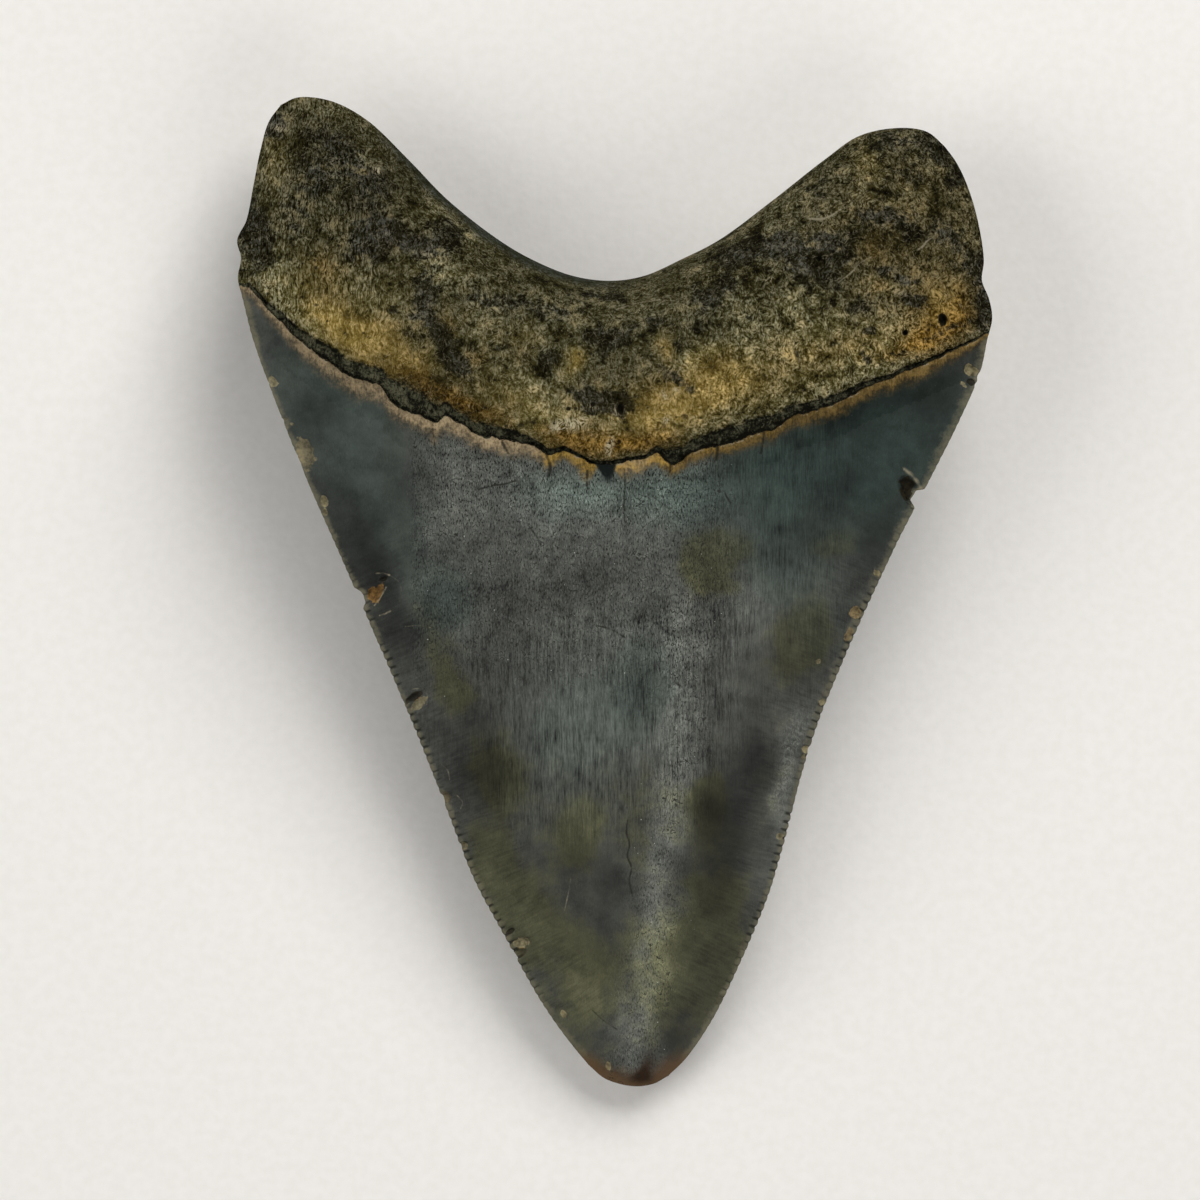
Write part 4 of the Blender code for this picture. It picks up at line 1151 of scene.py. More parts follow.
@dataclass(frozen=True)
class Bone:
    """The root: matted tan strands over dark bone, with ochre, rust and black stains."""

    plain: Colour = (1.035, 1.01, 0.49)
    gold: Colour = (1.29, 0.975, 0.295)
    rust: Colour = (1.45, 0.9, 0.18)
    teal: Colour = (0.03, 0.034, 0.025)
    black: Colour = (0.006, 0.006, 0.003)
    shade: Colour = (0.019, 0.0193, 0.0128)
    thread: Colour = (0.4, 0.355, 0.235)
    depth: float = 4.6
    soft: float = 0.28
    rough: tuple = (0.98, 0.82)
    holes: tuple = (0.36, 0.2)
    hole_strength: float = 0.8
    dark_cover: tuple = (0.2, 0.72, 0, 0.85)
    dark_green: tuple = (0.86, 1.0)
    dark_blue: tuple = (0.5, 1.32)
    thread_cover: float = 0.22
    smooth_calm: float = 0.4
    unevenness: tuple = (0.7, 1.25)

    def coat(self, ground: Ground) -> Coat:
        """Lays the finish on a ground.

        Args:
            ground: The material's ground.

        Returns:
            The coat.
        """
        nodes, mask, strand = ground.nodes, ground.nodes.mask, ground.strand
        holes = ground.specks(*self.holes)
        smooth, stain = mask("teal"), mask("dark")
        rough = 1 - smooth
        uneven = ground.mix(coarse=0.5, cloud=1).ramp(-1, 1, *self.unevenness)
        lit = ground.mix(strand=0.85, fine=0.75) * uneven + ground.coarse * 0.85 + ground.cloud * 0.6
        calm = mask("gold") * -0.4 + stain.ramp(0, 0.9, 0, 0.12) + mask("lively")
        lit = lit * calm * (rough * (1 - self.smooth_calm) + self.smooth_calm)
        lit = self.depth ** (lit + (calm * -0.25 + 0.15))
        lit = lit * (1 + self.soft) / (lit * self.soft + 1.0)
        warm = ground.mix(coarse=0.16, cloud=0.14)
        tint = (mask("gold") + warm).blend(self.plain, self.gold)
        tint = (mask("rust") + warm).blend(tint, self.rust)
        colour = smooth.blend(tint.scaled(mask("body")), self.teal)
        dark = ground.mix(dark=1, cloud=-0.3, coarse=-0.42, fine=-0.2).ramp(*self.dark_cover) * rough
        faded = nodes.joined(1.0, lit.ramp(0.1, 1.5, *self.dark_green), lit.ramp(0.2, 1.9, *self.dark_blue))
        colour = nodes.vector("MULTIPLY", dark.blend(colour, self.shade).scaled(lit), faded)
        # The glint mask adds painted glints in the threads' pale colour.
        thread = ground.thread * self.thread_cover * rough + mask("glint") * strand.ramp(-0.5, 0.4)
        colour = thread.blend(colour, self.thread)
        colour = (holes * (self.hole_strength - smooth)).blend(colour, self.black)
        return Coat(colour, lit.ramp(0.2, 1.6, *self.rough), ground.mix(strand=0.02, fine=0.03, coarse=0.05))


@dataclass(frozen=True)
class Neck:
    """The bare strip between enamel and root: dark, rough and grainy."""

    deep: Colour = (0.005, 0.005, 0.003)
    grainy: Colour = (0.074, 0.074, 0.045)
    rough: tuple = (0.95, 0.8)
    upper_lip: tuple = (0, 0.35, -0.9, 0)
    # Darker under the root's lower edge: painted shade beneath its overhang.
    lower_lip_shade: tuple = (0.75, 1.1, 0, -0.5)
    grain_range: tuple = (-0.7, 1.3)
    relief: float = 0.06

    def coat(self, ground: Ground) -> Coat:
        """Lays the finish on a ground.

        Args:
            ground: The material's ground.

        Returns:
            The coat.
        """
        neck = ground.nodes.mask("neck")
        lit = ground.mix(strand=0.6, fine=0.7, coarse=0.8) + neck.ramp(*self.upper_lip)
        # The lower lip's darkening is painted shade under the root's edge.
        lit = (lit + neck.ramp(*self.lower_lip_shade) + ground.nodes.mask("pale")).ramp(*self.grain_range)
        return Coat(lit.blend(self.deep, self.grainy), lit.ramp(0, 1, *self.rough), ground.fine * self.relief)


@dataclass(frozen=True)
class Tones:
    """Three colours for hues from 0 to 1, where the first two and the last two meet, and how a grain varies them."""

    colours: tuple[Colour, Colour, Colour]
    low: tuple
    high: tuple
    grain: tuple

    def at(self, hue: Value, grain: Value) -> Value:
        """The colour at a hue, varied by a grain.

        Args:
            hue: A hue from 0 to 1.
            grain: An uneven grain.

        Returns:
            The colour.
        """
        first, second, third = self.colours
        warm = hue.ramp(*self.low).blend(first, second)
        return hue.ramp(*self.high).blend(warm, third).scaled(grain.ramp(*self.grain))


class Zone(Enum):
    """The three parts of the skin that have a material each."""

    CROWN = 0
    NECK = 1
    ROOT = 2


@dataclass(frozen=True)
class Fossil:
    """The tooth's materials. Enamel, root, neck and bare dentine lie each where they belong.

    Dentine is cream, orange or dark brown. The rind, the enamel's worn end, is pink-tan, orange or brown.
    """

    enamel: Enamel = Enamel()
    bone: Bone = Bone()
    neck: Neck = Neck()
    dentine: Tones = Tones(
        ((0.185, 0.162, 0.092), (0.175, 0.098, 0.03), (0.016, 0.014, 0.008)),
        (0.0, 0.6), (0.6, 1.0), (-1.2, 1.2, 0.3, 1.55))
    rind: Tones = Tones(
        ((0.166, 0.128, 0.076), (0.206, 0.131, 0.03), (0.118, 0.078, 0.025)),
        (0.1, 0.55), (0.6, 0.95), (-1.8, 1.8, 0.5, 1.5))
    rind_edge: Colour = (0.24, 0.2, 0.13)
    scratch: Colour = (0.25, 0.225, 0.155)
    crack: Colour = (0.012, 0.012, 0.009)
    gloss: tuple = (0.14, 0.04, 0.02)
    bare_range: tuple = (0.4, 0.62)
    bare_roughness: float = 0.75
    scratch_cover: tuple = (0.15, 0.9, 0, 0.8)
    crack_cover: tuple = (-0.15, -0.9, 0, 0.85)
    rind_depth: tuple = (-1.1, -0.1, 0.58, 1.14)
    rind_cover: tuple = (-1.5, -0.3, 0, 0.95)
    rind_edge_width: tuple = (-0.22, -0.04)
    neck_start: tuple = (-0.03, 0.05)
    root_start: tuple = (0.9, 1.2)
    shred_size: tuple = (0.14, 7.0)

    def material(self, zone: Zone, effects: Effects) -> bpy.types.Material:
        """Builds the material of one zone.

        Args:
            zone: The zone.
            effects: The shared groups.

        Returns:
            The material.
        """
        material = bpy.data.materials.new(f"fossil_{zone.name.lower()}")
        ground = Ground.lay(material, effects)
        mask = ground.nodes.mask
        coat = (self.enamel.coat, self.across_the_neck, self.bone.coat)[zone.value](ground)
        bare = ground.mix(fine=0.16, coarse=0.28, bare=1).ramp(*self.bare_range)
        bare = bare * mask("bare").ramp(0.02, 0.3) * mask("strength")
        colour = bare.blend(coat.colour, self.dentine.at(mask("hue"), ground.mix(fine=0.7, coarse=0.8)))
        line = mask("line")
        colour = line.ramp(*self.scratch_cover).blend(colour, self.scratch)
        colour = line.ramp(*self.crack_cover).blend(colour, self.crack)
        roughness = bare.between(coat.roughness, self.bare_roughness)
        ground.finish(material, self.gloss[zone.value], colour=colour, roughness=roughness, height=coat.height)
        return material

    def across_the_neck(self, ground: Ground) -> Coat:
        """Enamel with its worn end, the bare neck and the lower edge of the root.

        Args:
            ground: The material's ground.

        Returns:
            The coat.
        """
        mask, fine, coarse = ground.nodes.mask, ground.fine, ground.coarse
        enamel, neck, bone = self.enamel.coat(ground), self.neck.coat(ground), self.bone.coat(ground)
        shreds = ground.place.stretched(*self.shred_size).noise(2, 0.6)
        worn = ground.mix(rind=1, coarse=0.26, fine=0.14) + shreds * 0.5 - 0.25
        deep = worn.ramp(*self.rind_depth)
        worn = worn.ramp(*self.rind_cover) * (1 - mask("plug"))
        grain = ground.mix(fine=0.9, strand=0.8, coarse=1) + shreds * 3.0 - 1.5
        tinted = self.rind.at(ground.mix(coarse=0.12, rind_hue=1), grain).scaled(deep * mask("rind_light"))
        crisp = ground.mix(coarse=0.08, above=1).ramp(*self.rind_edge_width) * (coarse + fine).ramp(0.1, 0.9)
        rind = Coat(crisp.blend(tinted, self.rind_edge), enamel.roughness, enamel.height)
        coat = enamel.under(worn, rind)
        coat = coat.under(ground.mix(above=1, fine=0.1, coarse=0.06).ramp(*self.neck_start), neck)
        return coat.under(ground.mix(neck=1, coarse=0.18, fine=0.1).ramp(*self.root_start), bone)


# The mesh


class Rim:
    """The plan's border: a closed ring of points, clockwise from the left end of the tip."""

    WALK = ("crown_left", "root_left", "root_top", "root_right", "crown_right", "tip")
    BACKWARDS = ("root_right", "crown_right", "tip")
    LEAST_WIDTH = 0.4

    def __init__(self, form: ToothForm, crown_step: float, root_step: float) -> None:
        """Walks round the tooth.

        Args:
            form: The tooth's form.
            crown_step: Distance between points on the cutting edges.
            root_step: Distance between points on the root's border.
        """
        curves = {name: Curve(getattr(form, name)) for name in self.WALK}
        points, on_root = [], []
        for name, curve in curves.items():
            rooted = name.startswith("root")
            count = round(curve.length / (root_step if rooted else crown_step))
            fraction = np.arange(count) / count
            points.append(curve.at(1 - fraction if name in self.BACKWARDS else fraction))
            on_root.append(np.full(count, rooted))
        self.points, self.on_root = np.concatenate(points), np.concatenate(on_root)
        after = np.roll(self.points, -1, 0)
        self.steps = np.linalg.norm(after - self.points, axis=1)
        self.runs = np.concatenate([[0.0], np.cumsum(self.steps)[:-1]])
        way = after - np.roll(self.points, 1, 0)
        self.inward = np.stack([way[:, 1], -way[:, 0]], -1) / np.linalg.norm(way, axis=1)[:, None]
        half = Curve.SAMPLES // 2
        self.left = self._edge(curves, "left", slice(0, half))
        self.right = self._edge(curves, "right", slice(half, None))

    @staticmethod
    def _edge(curves: dict[str, Curve], side: str, half: slice) -> Numbers:
        """A cutting edge with half the tip and the lower part of the root's side, sorted along Y.

        Args:
            curves: The borders of the plan, by name.
            side: Left or right.
            half: Which samples of the tip belong to it.

        Returns:
            Plan points.
        """
        root = curves[f"root_{side}"].samples[1 : Curve.SAMPLES // 4]
        edge = np.concatenate([curves["tip"].samples[half], curves[f"crown_{side}"].samples, root])
        return edge[np.argsort(edge[:, 1])]

    def across(self, x: Numbers, y: Numbers) -> Numbers:
        """Where points lie between the two cutting edges: -1 on the left one, 1 on the right one."""
        left, right = (np.interp(y, edge[:, 1], edge[:, 0]) for edge in (self.left, self.right))
        return np.clip((2 * x - left - right) / np.maximum(right - left, self.LEAST_WIDTH), -1, 1)

    def near(self, spots: Numbers) -> tuple[Numbers, Numbers, Numbers]:
        """Finds the nearest places on the border.

        Args:
            spots: Plan points, one in a row.

        Returns:
            Distances to the border, how far along it the nearest places lie, and the ways inward there.
        """
        nearest, _ = nearest_points(self.points, spots)
        gap, run = np.full(len(spots), np.inf), np.zeros(len(spots))
        inward = np.zeros_like(spots)
        for first in (nearest - 1, nearest):
            first, last = first % len(self.points), (first + 1) % len(self.points)
            way = self.points[last] - self.points[first]
            t = ((spots - self.points[first]) * way).sum(1) / (way**2).sum(1)
            t = np.clip(t, 0, 1)[:, None]
            distance = np.linalg.norm(spots - self.points[first] - way * t, axis=1)
            closer = distance < gap
            gap = np.where(closer, distance, gap)
            run = np.where(closer, self.runs[first] + t[:, 0] * self.steps[first], run)
            turned = self.inward[first] * (1 - t) + self.inward[last] * t
            inward = np.where(closer[:, None], turned, inward)
        return gap, run, inward


def nearest_points(points: Numbers, spots: Numbers) -> tuple[Numbers, Numbers]:
    """For each spot, the index of the nearest of the points and the distance to it.

    Args:
        points: Plan points, one in a row.
        spots: Other plan points.

    Returns:
        The indices and the distances.
    """
    tree = KDTree(len(points))
    for k, (x, y) in enumerate(points):
        tree.insert((x, y, 0.0), k)
    tree.balance()
    found = [tree.find((x, y, 0.0)) for x, y in spots]
    return np.array([f[1] for f in found]), np.array([f[2] for f in found])


@dataclass(frozen=True)
class Sites:
    """Points of one face's plan, and where they lie on the tooth, in millimetres.

    Gap is the distance to the border, run is how far along it the nearest place lies, above is the height
    over the ragged end of the enamel, and neck is that height in widths of the bare neck.
    """

    face: Face
    x: Numbers
    y: Numbers
    up: Numbers
    gap: Numbers
    run: Numbers
    inward: Numbers
    across: Numbers
    swell: Numbers
    above: Numbers
    neck: Numbers
    noise: Grain

    @property
    def outer(self) -> bool:
        """Whether the points are on the outer face."""
        return self.face is Face.OUTER

    def rough(self, size: float, octaves: int = 3, stretch: float = 1.0, shift: tuple = (0, 0)) -> Numbers:
        """Rough numbers at the points, from -1 to 1. Another shift gives other numbers."""
        return self.noise.rough(self.x + shift[0], self.y + shift[1], size, octaves, stretch)


@dataclass
class ToothSkin:
    """The whole tooth: its two faces, everything that wear has cut in them, its stains, and its painted sheen, glints
    and shade.
    """

    form: ToothForm = ToothForm()
    wear: Wear = Wear()
    half_width: float = 38.0
    half_length: float = 50.0
    crown_step: float = 0.108
    root_step: float = 0.22
    crown_rings: tuple = (0.06, 0.18, 0.34, 0.56, 0.84, 1.2, 1.6)
    root_rings: tuple = (0.1, 0.3, 0.6, 1.0, 1.45)
    sparse_from: float = 0.5
    steps: tuple = (0.345, 0.52)
    jitter: float = 0.12
    neck_rows: tuple = (-0.3, -0.1, 0.0, 0.07, 0.16, 0.32)
    root_rows: tuple = (0.82, 0.95, 1.08, 1.25)
    neck_step: float = 0.16
    neck_end: float = 36.9
    serration_pitch: float = 0.86
    serration_depth: float = 0.19
    serration_power: float = 0.7
    serration_drift: float = 0.12
    fresh_edge: tuple = (6, 15)
    worn_edge: tuple = (60, 44)
    tick_depth: float = 0.13
    scoop_rings: tuple = (0.45, 0.75, 0.94, 1.03, 1.2)
    stroke_rows: tuple = (0.0, -0.55, 0.55, -1.1, 1.1)
    scoop_step: float = 0.14
    ring_clear: tuple = (0.055, 0.1)
    ring_keep: float = 0.8
    row_clear: float = 0.06
    stroke_clear: float = 0.07
    fill_clear: float = 0.55
    fill_from_border: float = 0.5
    root_lumps: tuple = ((0.22, 6.0), (0.1, 1.9), (0.05, 0.8))
    crown_waves: tuple = ((0.016, 1.1), (0.05, 9.0))
    inner_step_depth: float = 0.22
    kept_thickness: float = 0.3
    enamel_step: float = 0.16
    ragged: float = 0.2
    plug_depth: float = 0.25
    crest_height: float = 0.22
    crest_width: float = 2.1
    crown_zone: float = -3.0
    root_zone: float = 1.75
    sharp_angle: float = 62.0
    noise: Grain = field(default_factory=lambda: Grain(seed=7))
    finish: Fossil = Fossil()

    def __post_init__(self) -> None:
        """Walks round the border once."""
        self.rim = Rim(self.form, self.crown_step, self.root_step)

    def enamel_end(self, x: Numbers, face: Face) -> tuple[Numbers, Numbers, Numbers]:
        """Where the enamel ends.

        Args:
            x: Plan positions across.
            face: The face.

        Returns:
            The ragged end's plan position along, the length of the smooth line over a unit of x, and the
            width of the bare neck.
        """
        outer = face is Face.OUTER
        line = self.form.outer_neck if outer else self.form.inner_neck
        rough = self.noise.rough(x, np.full_like(x, 11.0 * face.value), 1.3)
        end = along(x, line) + self.ragged * rough + self.ragged / 2 * self.noise.at(x, np.full_like(x, 5.0), 0.42)
        end = end + (along(x, self.wear.enamel_end) if outer else 0.0)
        return end, steepness(x, line), along(x, self.wear.strip_width if outer else self.form.inner_neck_width)

    def sites(self, points: Numbers, face: Face) -> Sites:
        """Works out where plan points lie on the tooth.

        Args:
            points: Plan points, one in a row.
            face: The face that they are on.

        Returns:
            The points with their places on the tooth.
        """
        x, y = points.T
        _, root_gap = nearest_points(self.rim.points[self.rim.on_root], points)
        swell = np.sqrt(1 - (1 - np.clip(root_gap / self.form.root_rounding, 0, 1)) ** 2)
        end, length, width = self.enamel_end(x, face)
        above, up = (y - end) / length, y + self.form.tip_to_centre
        across = self.rim.across(x, y)
        return Sites(face, x, y, up, *self.rim.near(points), across, swell, above, above / width, self.noise)

    def notch(self, at: Sites) -> Numbers:
        """The serrations: 0 on each small tooth and 1 in the gaps between them, weaker where worn.

        Args:
            at: The points.

        Returns:
            Numbers from 0 to 1.
        """
        phase = at.run / self.serration_pitch + self.serration_drift * self.noise.at(at.run, at.run * 0, 3.0)
        gaps = 1 - np.abs(np.sin(math.pi * phase)) ** self.serration_power
        fresh = ramp(at.up, *self.fresh_edge) * ramp(at.up, *self.worn_edge)
        worn = 0.6 + 0.4 * self.noise.at(at.run, at.run * 0 + 5, 2.3)
        return gaps * worn * (0.3 + 0.7 * fresh) * ramp(at.up, 2, 7) * ramp(at.above, 1, -1)

    def setback(self, at: Sites) -> Numbers:
        """How far plan points move inward: the serrations, and the border beside each chip.

        Args:
            at: The points.

        Returns:
            Distances in millimetres.
        """
        foot = np.stack([at.x, at.y], -1) - at.inward * at.gap[:, None]
        moved = self.serration_depth * self.notch(at) * ramp(at.gap, 1, 0)
        for scoop in self.wear.scoops:
            reach = scoop.reach(foot[:, 0], foot[:, 1])
            moved += scoop.inset * ramp(reach, *self.wear.scoop_edge) * ramp(at.gap, self.wear.chip_reach, 0)
        return moved

    def bowls(self, at: Sites) -> Numbers:
        """Depth of all scoops and strokes on this face.

        Args:
            at: The points.

        Returns:
            Depths in millimetres.
        """
        depth = np.zeros_like(at.x)
        wobble = 1 + 0.22 * at.rough(0.8, 2)
        for scoop in self.wear.on(self.wear.scoops, at.face):
            bowl = 1 - np.clip(scoop.reach(at.x, at.y) * wobble, 0, 1) ** self.wear.bowl_power
            depth = np.maximum(depth, scoop.depth * bowl)
        for stroke in self.wear.on(self.wear.strokes, at.face):
            depth = np.maximum(depth, stroke.depth * stroke.cover(at.x, at.y))
        return depth

    def layout(self, face: Face) -> Numbers:
        """Lays out the mesh points of one face.

        Args:
            face: The face.

        Returns:
            Plan points, the border's own first.
        """
        rim, kept = self.rim, self.rim.points
        for offset in self.crown_rings:
            every = 1 if offset < self.sparse_from else 2
            ring = (rim.points + rim.inward * offset)[~rim.on_root][::every]
            kept = self.join(kept, ring, self.ring_clear[0], self.ring_keep * offset)
        for offset in self.root_rings:
            ring = (rim.points + rim.inward * offset)[rim.on_root]
            kept = self.join(kept, ring, self.ring_clear[1], self.ring_keep * offset)
        x = np.arange(-self.neck_end, self.neck_end, self.neck_step)
        end, length, width = self.enamel_end(x, face)
        rows = [end + row * length for row in self.neck_rows]
        rows += [end + share * width * length for share in self.root_rows]
        for y in rows:
            kept = self.join(kept, np.stack([x, y], -1), self.row_clear)
        scoops = self.wear.on(self.wear.scoops, face)
        for scale in self.scoop_rings:
            rings = [scoop.ring(scale, self.scoop_step) for scoop in scoops]
            kept = self.join(kept, np.concatenate(rings), self.row_clear)
        strokes = self.wear.on(self.wear.strokes, face)
        for shift in self.stroke_rows if strokes else ():
            rows = [stroke.row(shift, self.scoop_step) for stroke in strokes]
            kept = self.join(kept, np.concatenate(rows), self.stroke_clear)
        step = self.steps[0 if face is Face.OUTER else 1]
        rows = np.arange(-self.half_length, self.half_length, step * math.sqrt(0.75))
        grid_x, grid_y = np.meshgrid(np.arange(-self.half_width, self.half_width, step), rows)
        grid_x = grid_x + np.where(np.arange(len(rows)) % 2, step / 2, 0)[:, None]
        fill = np.stack([grid_x.ravel(), grid_y.ravel()], -1)
        fill = fill + self.jitter * step * np.random.default_rng(3).uniform(-1, 1, fill.shape)
        return self.join(kept, fill, self.fill_clear * step, self.fill_from_border)

    def join(self, kept: Numbers, new: Numbers, clear: float, from_border: float = 0.2) -> Numbers:
        """Adds those points to a layout that lie within the border.

        Args:
            kept: The layout so far.
            new: Points to add.
            clear: How far a new point stays from those already there.
            from_border: How far it stays from the border.

        Returns:
            The longer layout.
        """
        nearest, from_rim = nearest_points(self.rim.points, new)
        inside = ((new - self.rim.points[nearest]) * self.rim.inward[nearest]).sum(1) > 0
        _, apart = nearest_points(kept, new)
        return np.concatenate([kept, new[inside & (apart > clear) & (from_rim > from_border)]])

    def triangles(self, points: Numbers) -> Numbers:
        """Joins a layout into triangles that face up, within the border.

        Args:
            points: A layout.

        Returns:
            Indices of the points, three in a row.
        """
        count = len(self.rim.points)
        border = [(k, (k + 1) % count) for k in range(count)]
        spots = [Vector((float(x), float(y))) for x, y in points]
        _, _, faces, origins, _, _ = delaunay_2d_cdt(spots, border, [], 1, 1e-7, True)
        first = [origin[0] for origin in origins]
        faces = np.array([[first[k] for k in face] for face in faces])
        faces = faces[(faces >= count).any(1)]
        a, b, c = points[faces[:, 0]], points[faces[:, 1]], points[faces[:, 2]]
        up = (b[:, 0] - a[:, 0]) * (c[:, 1] - a[:, 1]) - (b[:, 1] - a[:, 1]) * (c[:, 0] - a[:, 0]) > 0
        faces[~up] = faces[~up][:, ::-1]
        return faces

    def relief(self, at: Sites) -> Numbers:
        """How deep fine forms lie under the smooth face, without the chips and cracks.

        Args:
            at: The points.

        Returns:
            Depths in millimetres.
        """
        noise, root = self.noise, ramp(at.above, 0.5, 2.5)
        (high, wide), (lower, less), (least, small) = self.root_lumps
        lumps = high * (1 + at.rough(wide)) * at.swell
        lumps += lower * (1 + at.rough(less, shift=(30, 0))) + least * (1 + noise.at(at.x, at.y + 30, small))
        (ridge, narrow), (wave, broad) = self.crown_waves
        waves = ridge * (1 + at.rough(narrow, 2, 14.0)) + wave * (1 + noise.at(at.x, at.y, broad))
        inner = ramp(np.abs(at.across), 1.0, 0.85)
        depth = root * lumps + (1 - root) * waves * inner
        depth += self.tick_depth * self.notch(at) * ramp(at.gap, 0.95, 0.1) * ramp(at.gap, 0, 0.05)
        if not at.outer:
            return depth + self.inner_step_depth * ramp(at.above, 0, 0.2) * ramp(at.neck, 1.1, 0.85) * inner
        ridge = bell(at.x - along(at.y, self.wear.crest_line), self.crest_width)
        depth -= self.crest_height * ridge * ramp(at.up, 2, 12) * ramp(at.up, 62, 40)
        part = at.neck + 0.16 * at.rough(1.0, 2)
        groove = ramp(at.above, 0, self.enamel_step) * (0.55 * ramp(part, 1.15, 0.85) + 0.45 * ramp(part, 1.9, 0.9))
        groove *= 0.85 + 0.3 * at.rough(0.7, 2)
        depth += self.form.neck_depth * groove * smoothstep((1 - np.abs(at.across)) / self.form.neck_run_out)
        return depth + self.plug_depth * self.plugged(at)

    def surface(self, at: Sites) -> Numbers:
        """Places plan points on their face.

        Args:
            at: The points.

        Returns:
            Positions in millimetres.
        """
        outer, inner, rim = self.form.heights(at.x, at.y, at.across, at.swell)
        room = np.maximum(outer - inner, 0)
        depth = self.relief(at) * ramp(room, 0, 1.2) + self.bowls(at)
        if not at.outer:
            depth *= ramp(inner, 0, 0.8)
        depth = np.minimum(depth, (1 - self.kept_thickness) * room)
        z = np.where(at.gap < 1e-6, rim, outer - depth if at.outer else inner + depth)
        moved = at.inward * self.setback(at)[:, None]
        return np.stack([at.x + moved[:, 0], at.y + moved[:, 1], z], -1)

    def stains(self, at: Sites) -> dict[str, Numbers]:
        """Works out the masks that the finishes read.

        Args:
            at: Points on one face.

        Returns:
            Named values at the points.
        """
        wear, none = self.wear, np.zeros_like(at.x)
        x = (at.x if at.outer else -at.x) + wear.wander * at.rough(2.6)
        y = at.y + wear.wander * at.rough(2.6, shift=(50, 0))
        stain = {name: together(patches, x, y) for name, patches in wear.stains().items()}
        lighter, root_lighter = (wear.light_unit * stain[name] for name in ("enamel_tone_and_sheen", "root_light"))
        # The band along the crest line is painted sheen: it lightens the enamel's tone, keeps the olive stain off and
        # adds streaky scuffs towards the tip.
        aside = x + 1.2 * at.rough(1.6, 3, 1.6, (9, 0)) - along(y, wear.crest_line)
        wider, low, high = wear.crest_widening
        crest = bell(aside, wear.crest_width + wider * ramp(y, low, high), 2.2) * along(y, wear.painted_crest_sheen)
        tone = wear.enamel_tone + lighter + crest
        if not at.outer:
            tone = wear.inner_tone + 0.012 * at.rough(12.0) + 0.3 * lighter
        tone = tone * (1 + wear.mottle * at.rough(4.6, 4, shift=(20, 0)))
        notch = self.notch(at)
        masks = {
            "above": at.above,
            "neck": at.neck,
            "gap": at.gap,
            "run": at.run,
            # The serration gaps near the edge, where shade is painted.
            "tick": notch * ramp(at.gap, 1.15, 0.4),
            "rim": ramp(at.gap + 0.4 * at.rough(1.6), 1.0 + 0.5 * ramp(at.x, 15, 22), 0.1) * (0.8 - 0.5 * notch),
            "tip": ramp(at.gap + 0.5 * at.rough(0.9), 2.2, 0.2) * ramp(at.up, 4.4, 2),
            # The olive stain gives way under the painted crest sheen.
            "olive": np.clip(stain["olive_enamel"] - 1.2 * crest, 0, 1),
            "cool": np.clip(stain["cool_enamel"], 0, 1),
            "dark": np.clip(stain["dark_root"], -0.6, 1.3),
            "gold": np.clip(stain["golden_root"], 0, 1),
            "rust": np.clip(stain["rusty_root"], 0, 1),
            "fan": self.fanned(at),
            "streak": self.streaked(at),
            "speck": self.speckled(at),
            "plug": self.plugged(at),
            "teal": self.notch_rim(at),
            **self.bared(at),
        }
        body = wear.root_tone + root_lighter
        if not at.outer:
            plain = {"scuff": 0, "glint": 0, "pale": 0, "comb": 0, "blood": 0, "rind_hue": 0.6, "rind_light": 0.8}
            plain = {name: value + none for name, value in (*plain.items(), ("lively", wear.liveliness))}
            return {**masks, **plain, "tone": tone, "body": np.clip(body, *wear.root_range), "rind": at.above / 0.9}
        body = body + along(at.x, wear.lower_light) * ramp(at.neck, 0.8, 1.3) * ramp(at.above, 6, 3.2)
        livelier = 0.25 * ramp(x, 4, 14) + 0.16 * ramp(x, -26, -20) * ramp(x, -4, -12) * ramp(y, 26, 32)
        return {
            **masks,
            "tone": tone - wear.dim_right * ramp(at.above, -4, -1.4) * ramp(at.x, 14, 21),
            "body": np.clip(body, *wear.root_range),
            "scuff": stain["scuffs"] + wear.crest_sheen_and_scuff * crest * ramp(y, -14, -24),
            "glint": np.clip(stain["glints"], 0, 1),
            "rind": at.above / np.maximum(along(at.x, wear.rind_width), 0.3),
            "rind_hue": along(at.x, wear.rind_hue),
            "rind_light": along(at.x, wear.rind_light),
            "pale": ramp(x, 4, -10) * 0.3 - 0.2,
            "comb": ramp(x, -18, -26) * ramp(y, 20, 30),
            "lively": wear.liveliness + livelier,
            "blood": stain["blood"],
        }

    def bared(self, at: Sites) -> dict[str, Numbers]:
        """Where dentine shows, how strongly and in which hue, and the light of cracks and scratches.

        Args:
            at: The points.

        Returns:
            Named values at the points.
        """
        bare, hue, strength, line = np.zeros((4, len(at.x)))
        wobble = 1 + 0.3 * at.rough(0.55, 2)
        for scoop in self.wear.on(self.wear.scoops, at.face):
            cover = ramp(scoop.reach(at.x, at.y) * wobble, *self.wear.scoop_edge) * bool(scoop.bare)
            hue = np.where(cover > bare, scoop.hue, hue)
            strength = np.where(cover > bare, scoop.bare, strength)
            bare = np.maximum(bare, cover)
        uneven = 0.8 + 0.4 * self.noise.at(at.x, at.y, 0.4)
        for stroke in self.wear.on(self.wear.strokes, at.face):
            line = line + stroke.light * stroke.cover(at.x, at.y) * uneven
        return {"bare": bare, "strength": strength, "hue": hue, "line": line}

    def plugged(self, at: Sites) -> Numbers:
        """1 in the dark gap in the enamel's end at the middle of the outer face.

        Args:
            at: The points.

        Returns:
            Numbers from 0 to 1.
        """
        wide = along(at.y, self.wear.plug_half_width) + 0.12 * at.rough(0.7, 2)
        off = np.abs(at.x - along(at.y, self.wear.plug_middle))
        return ramp(wide - off, -0.08, 0.12) * ramp(at.y, 10.5, 11.6) * (at.above < 0.1) * at.outer

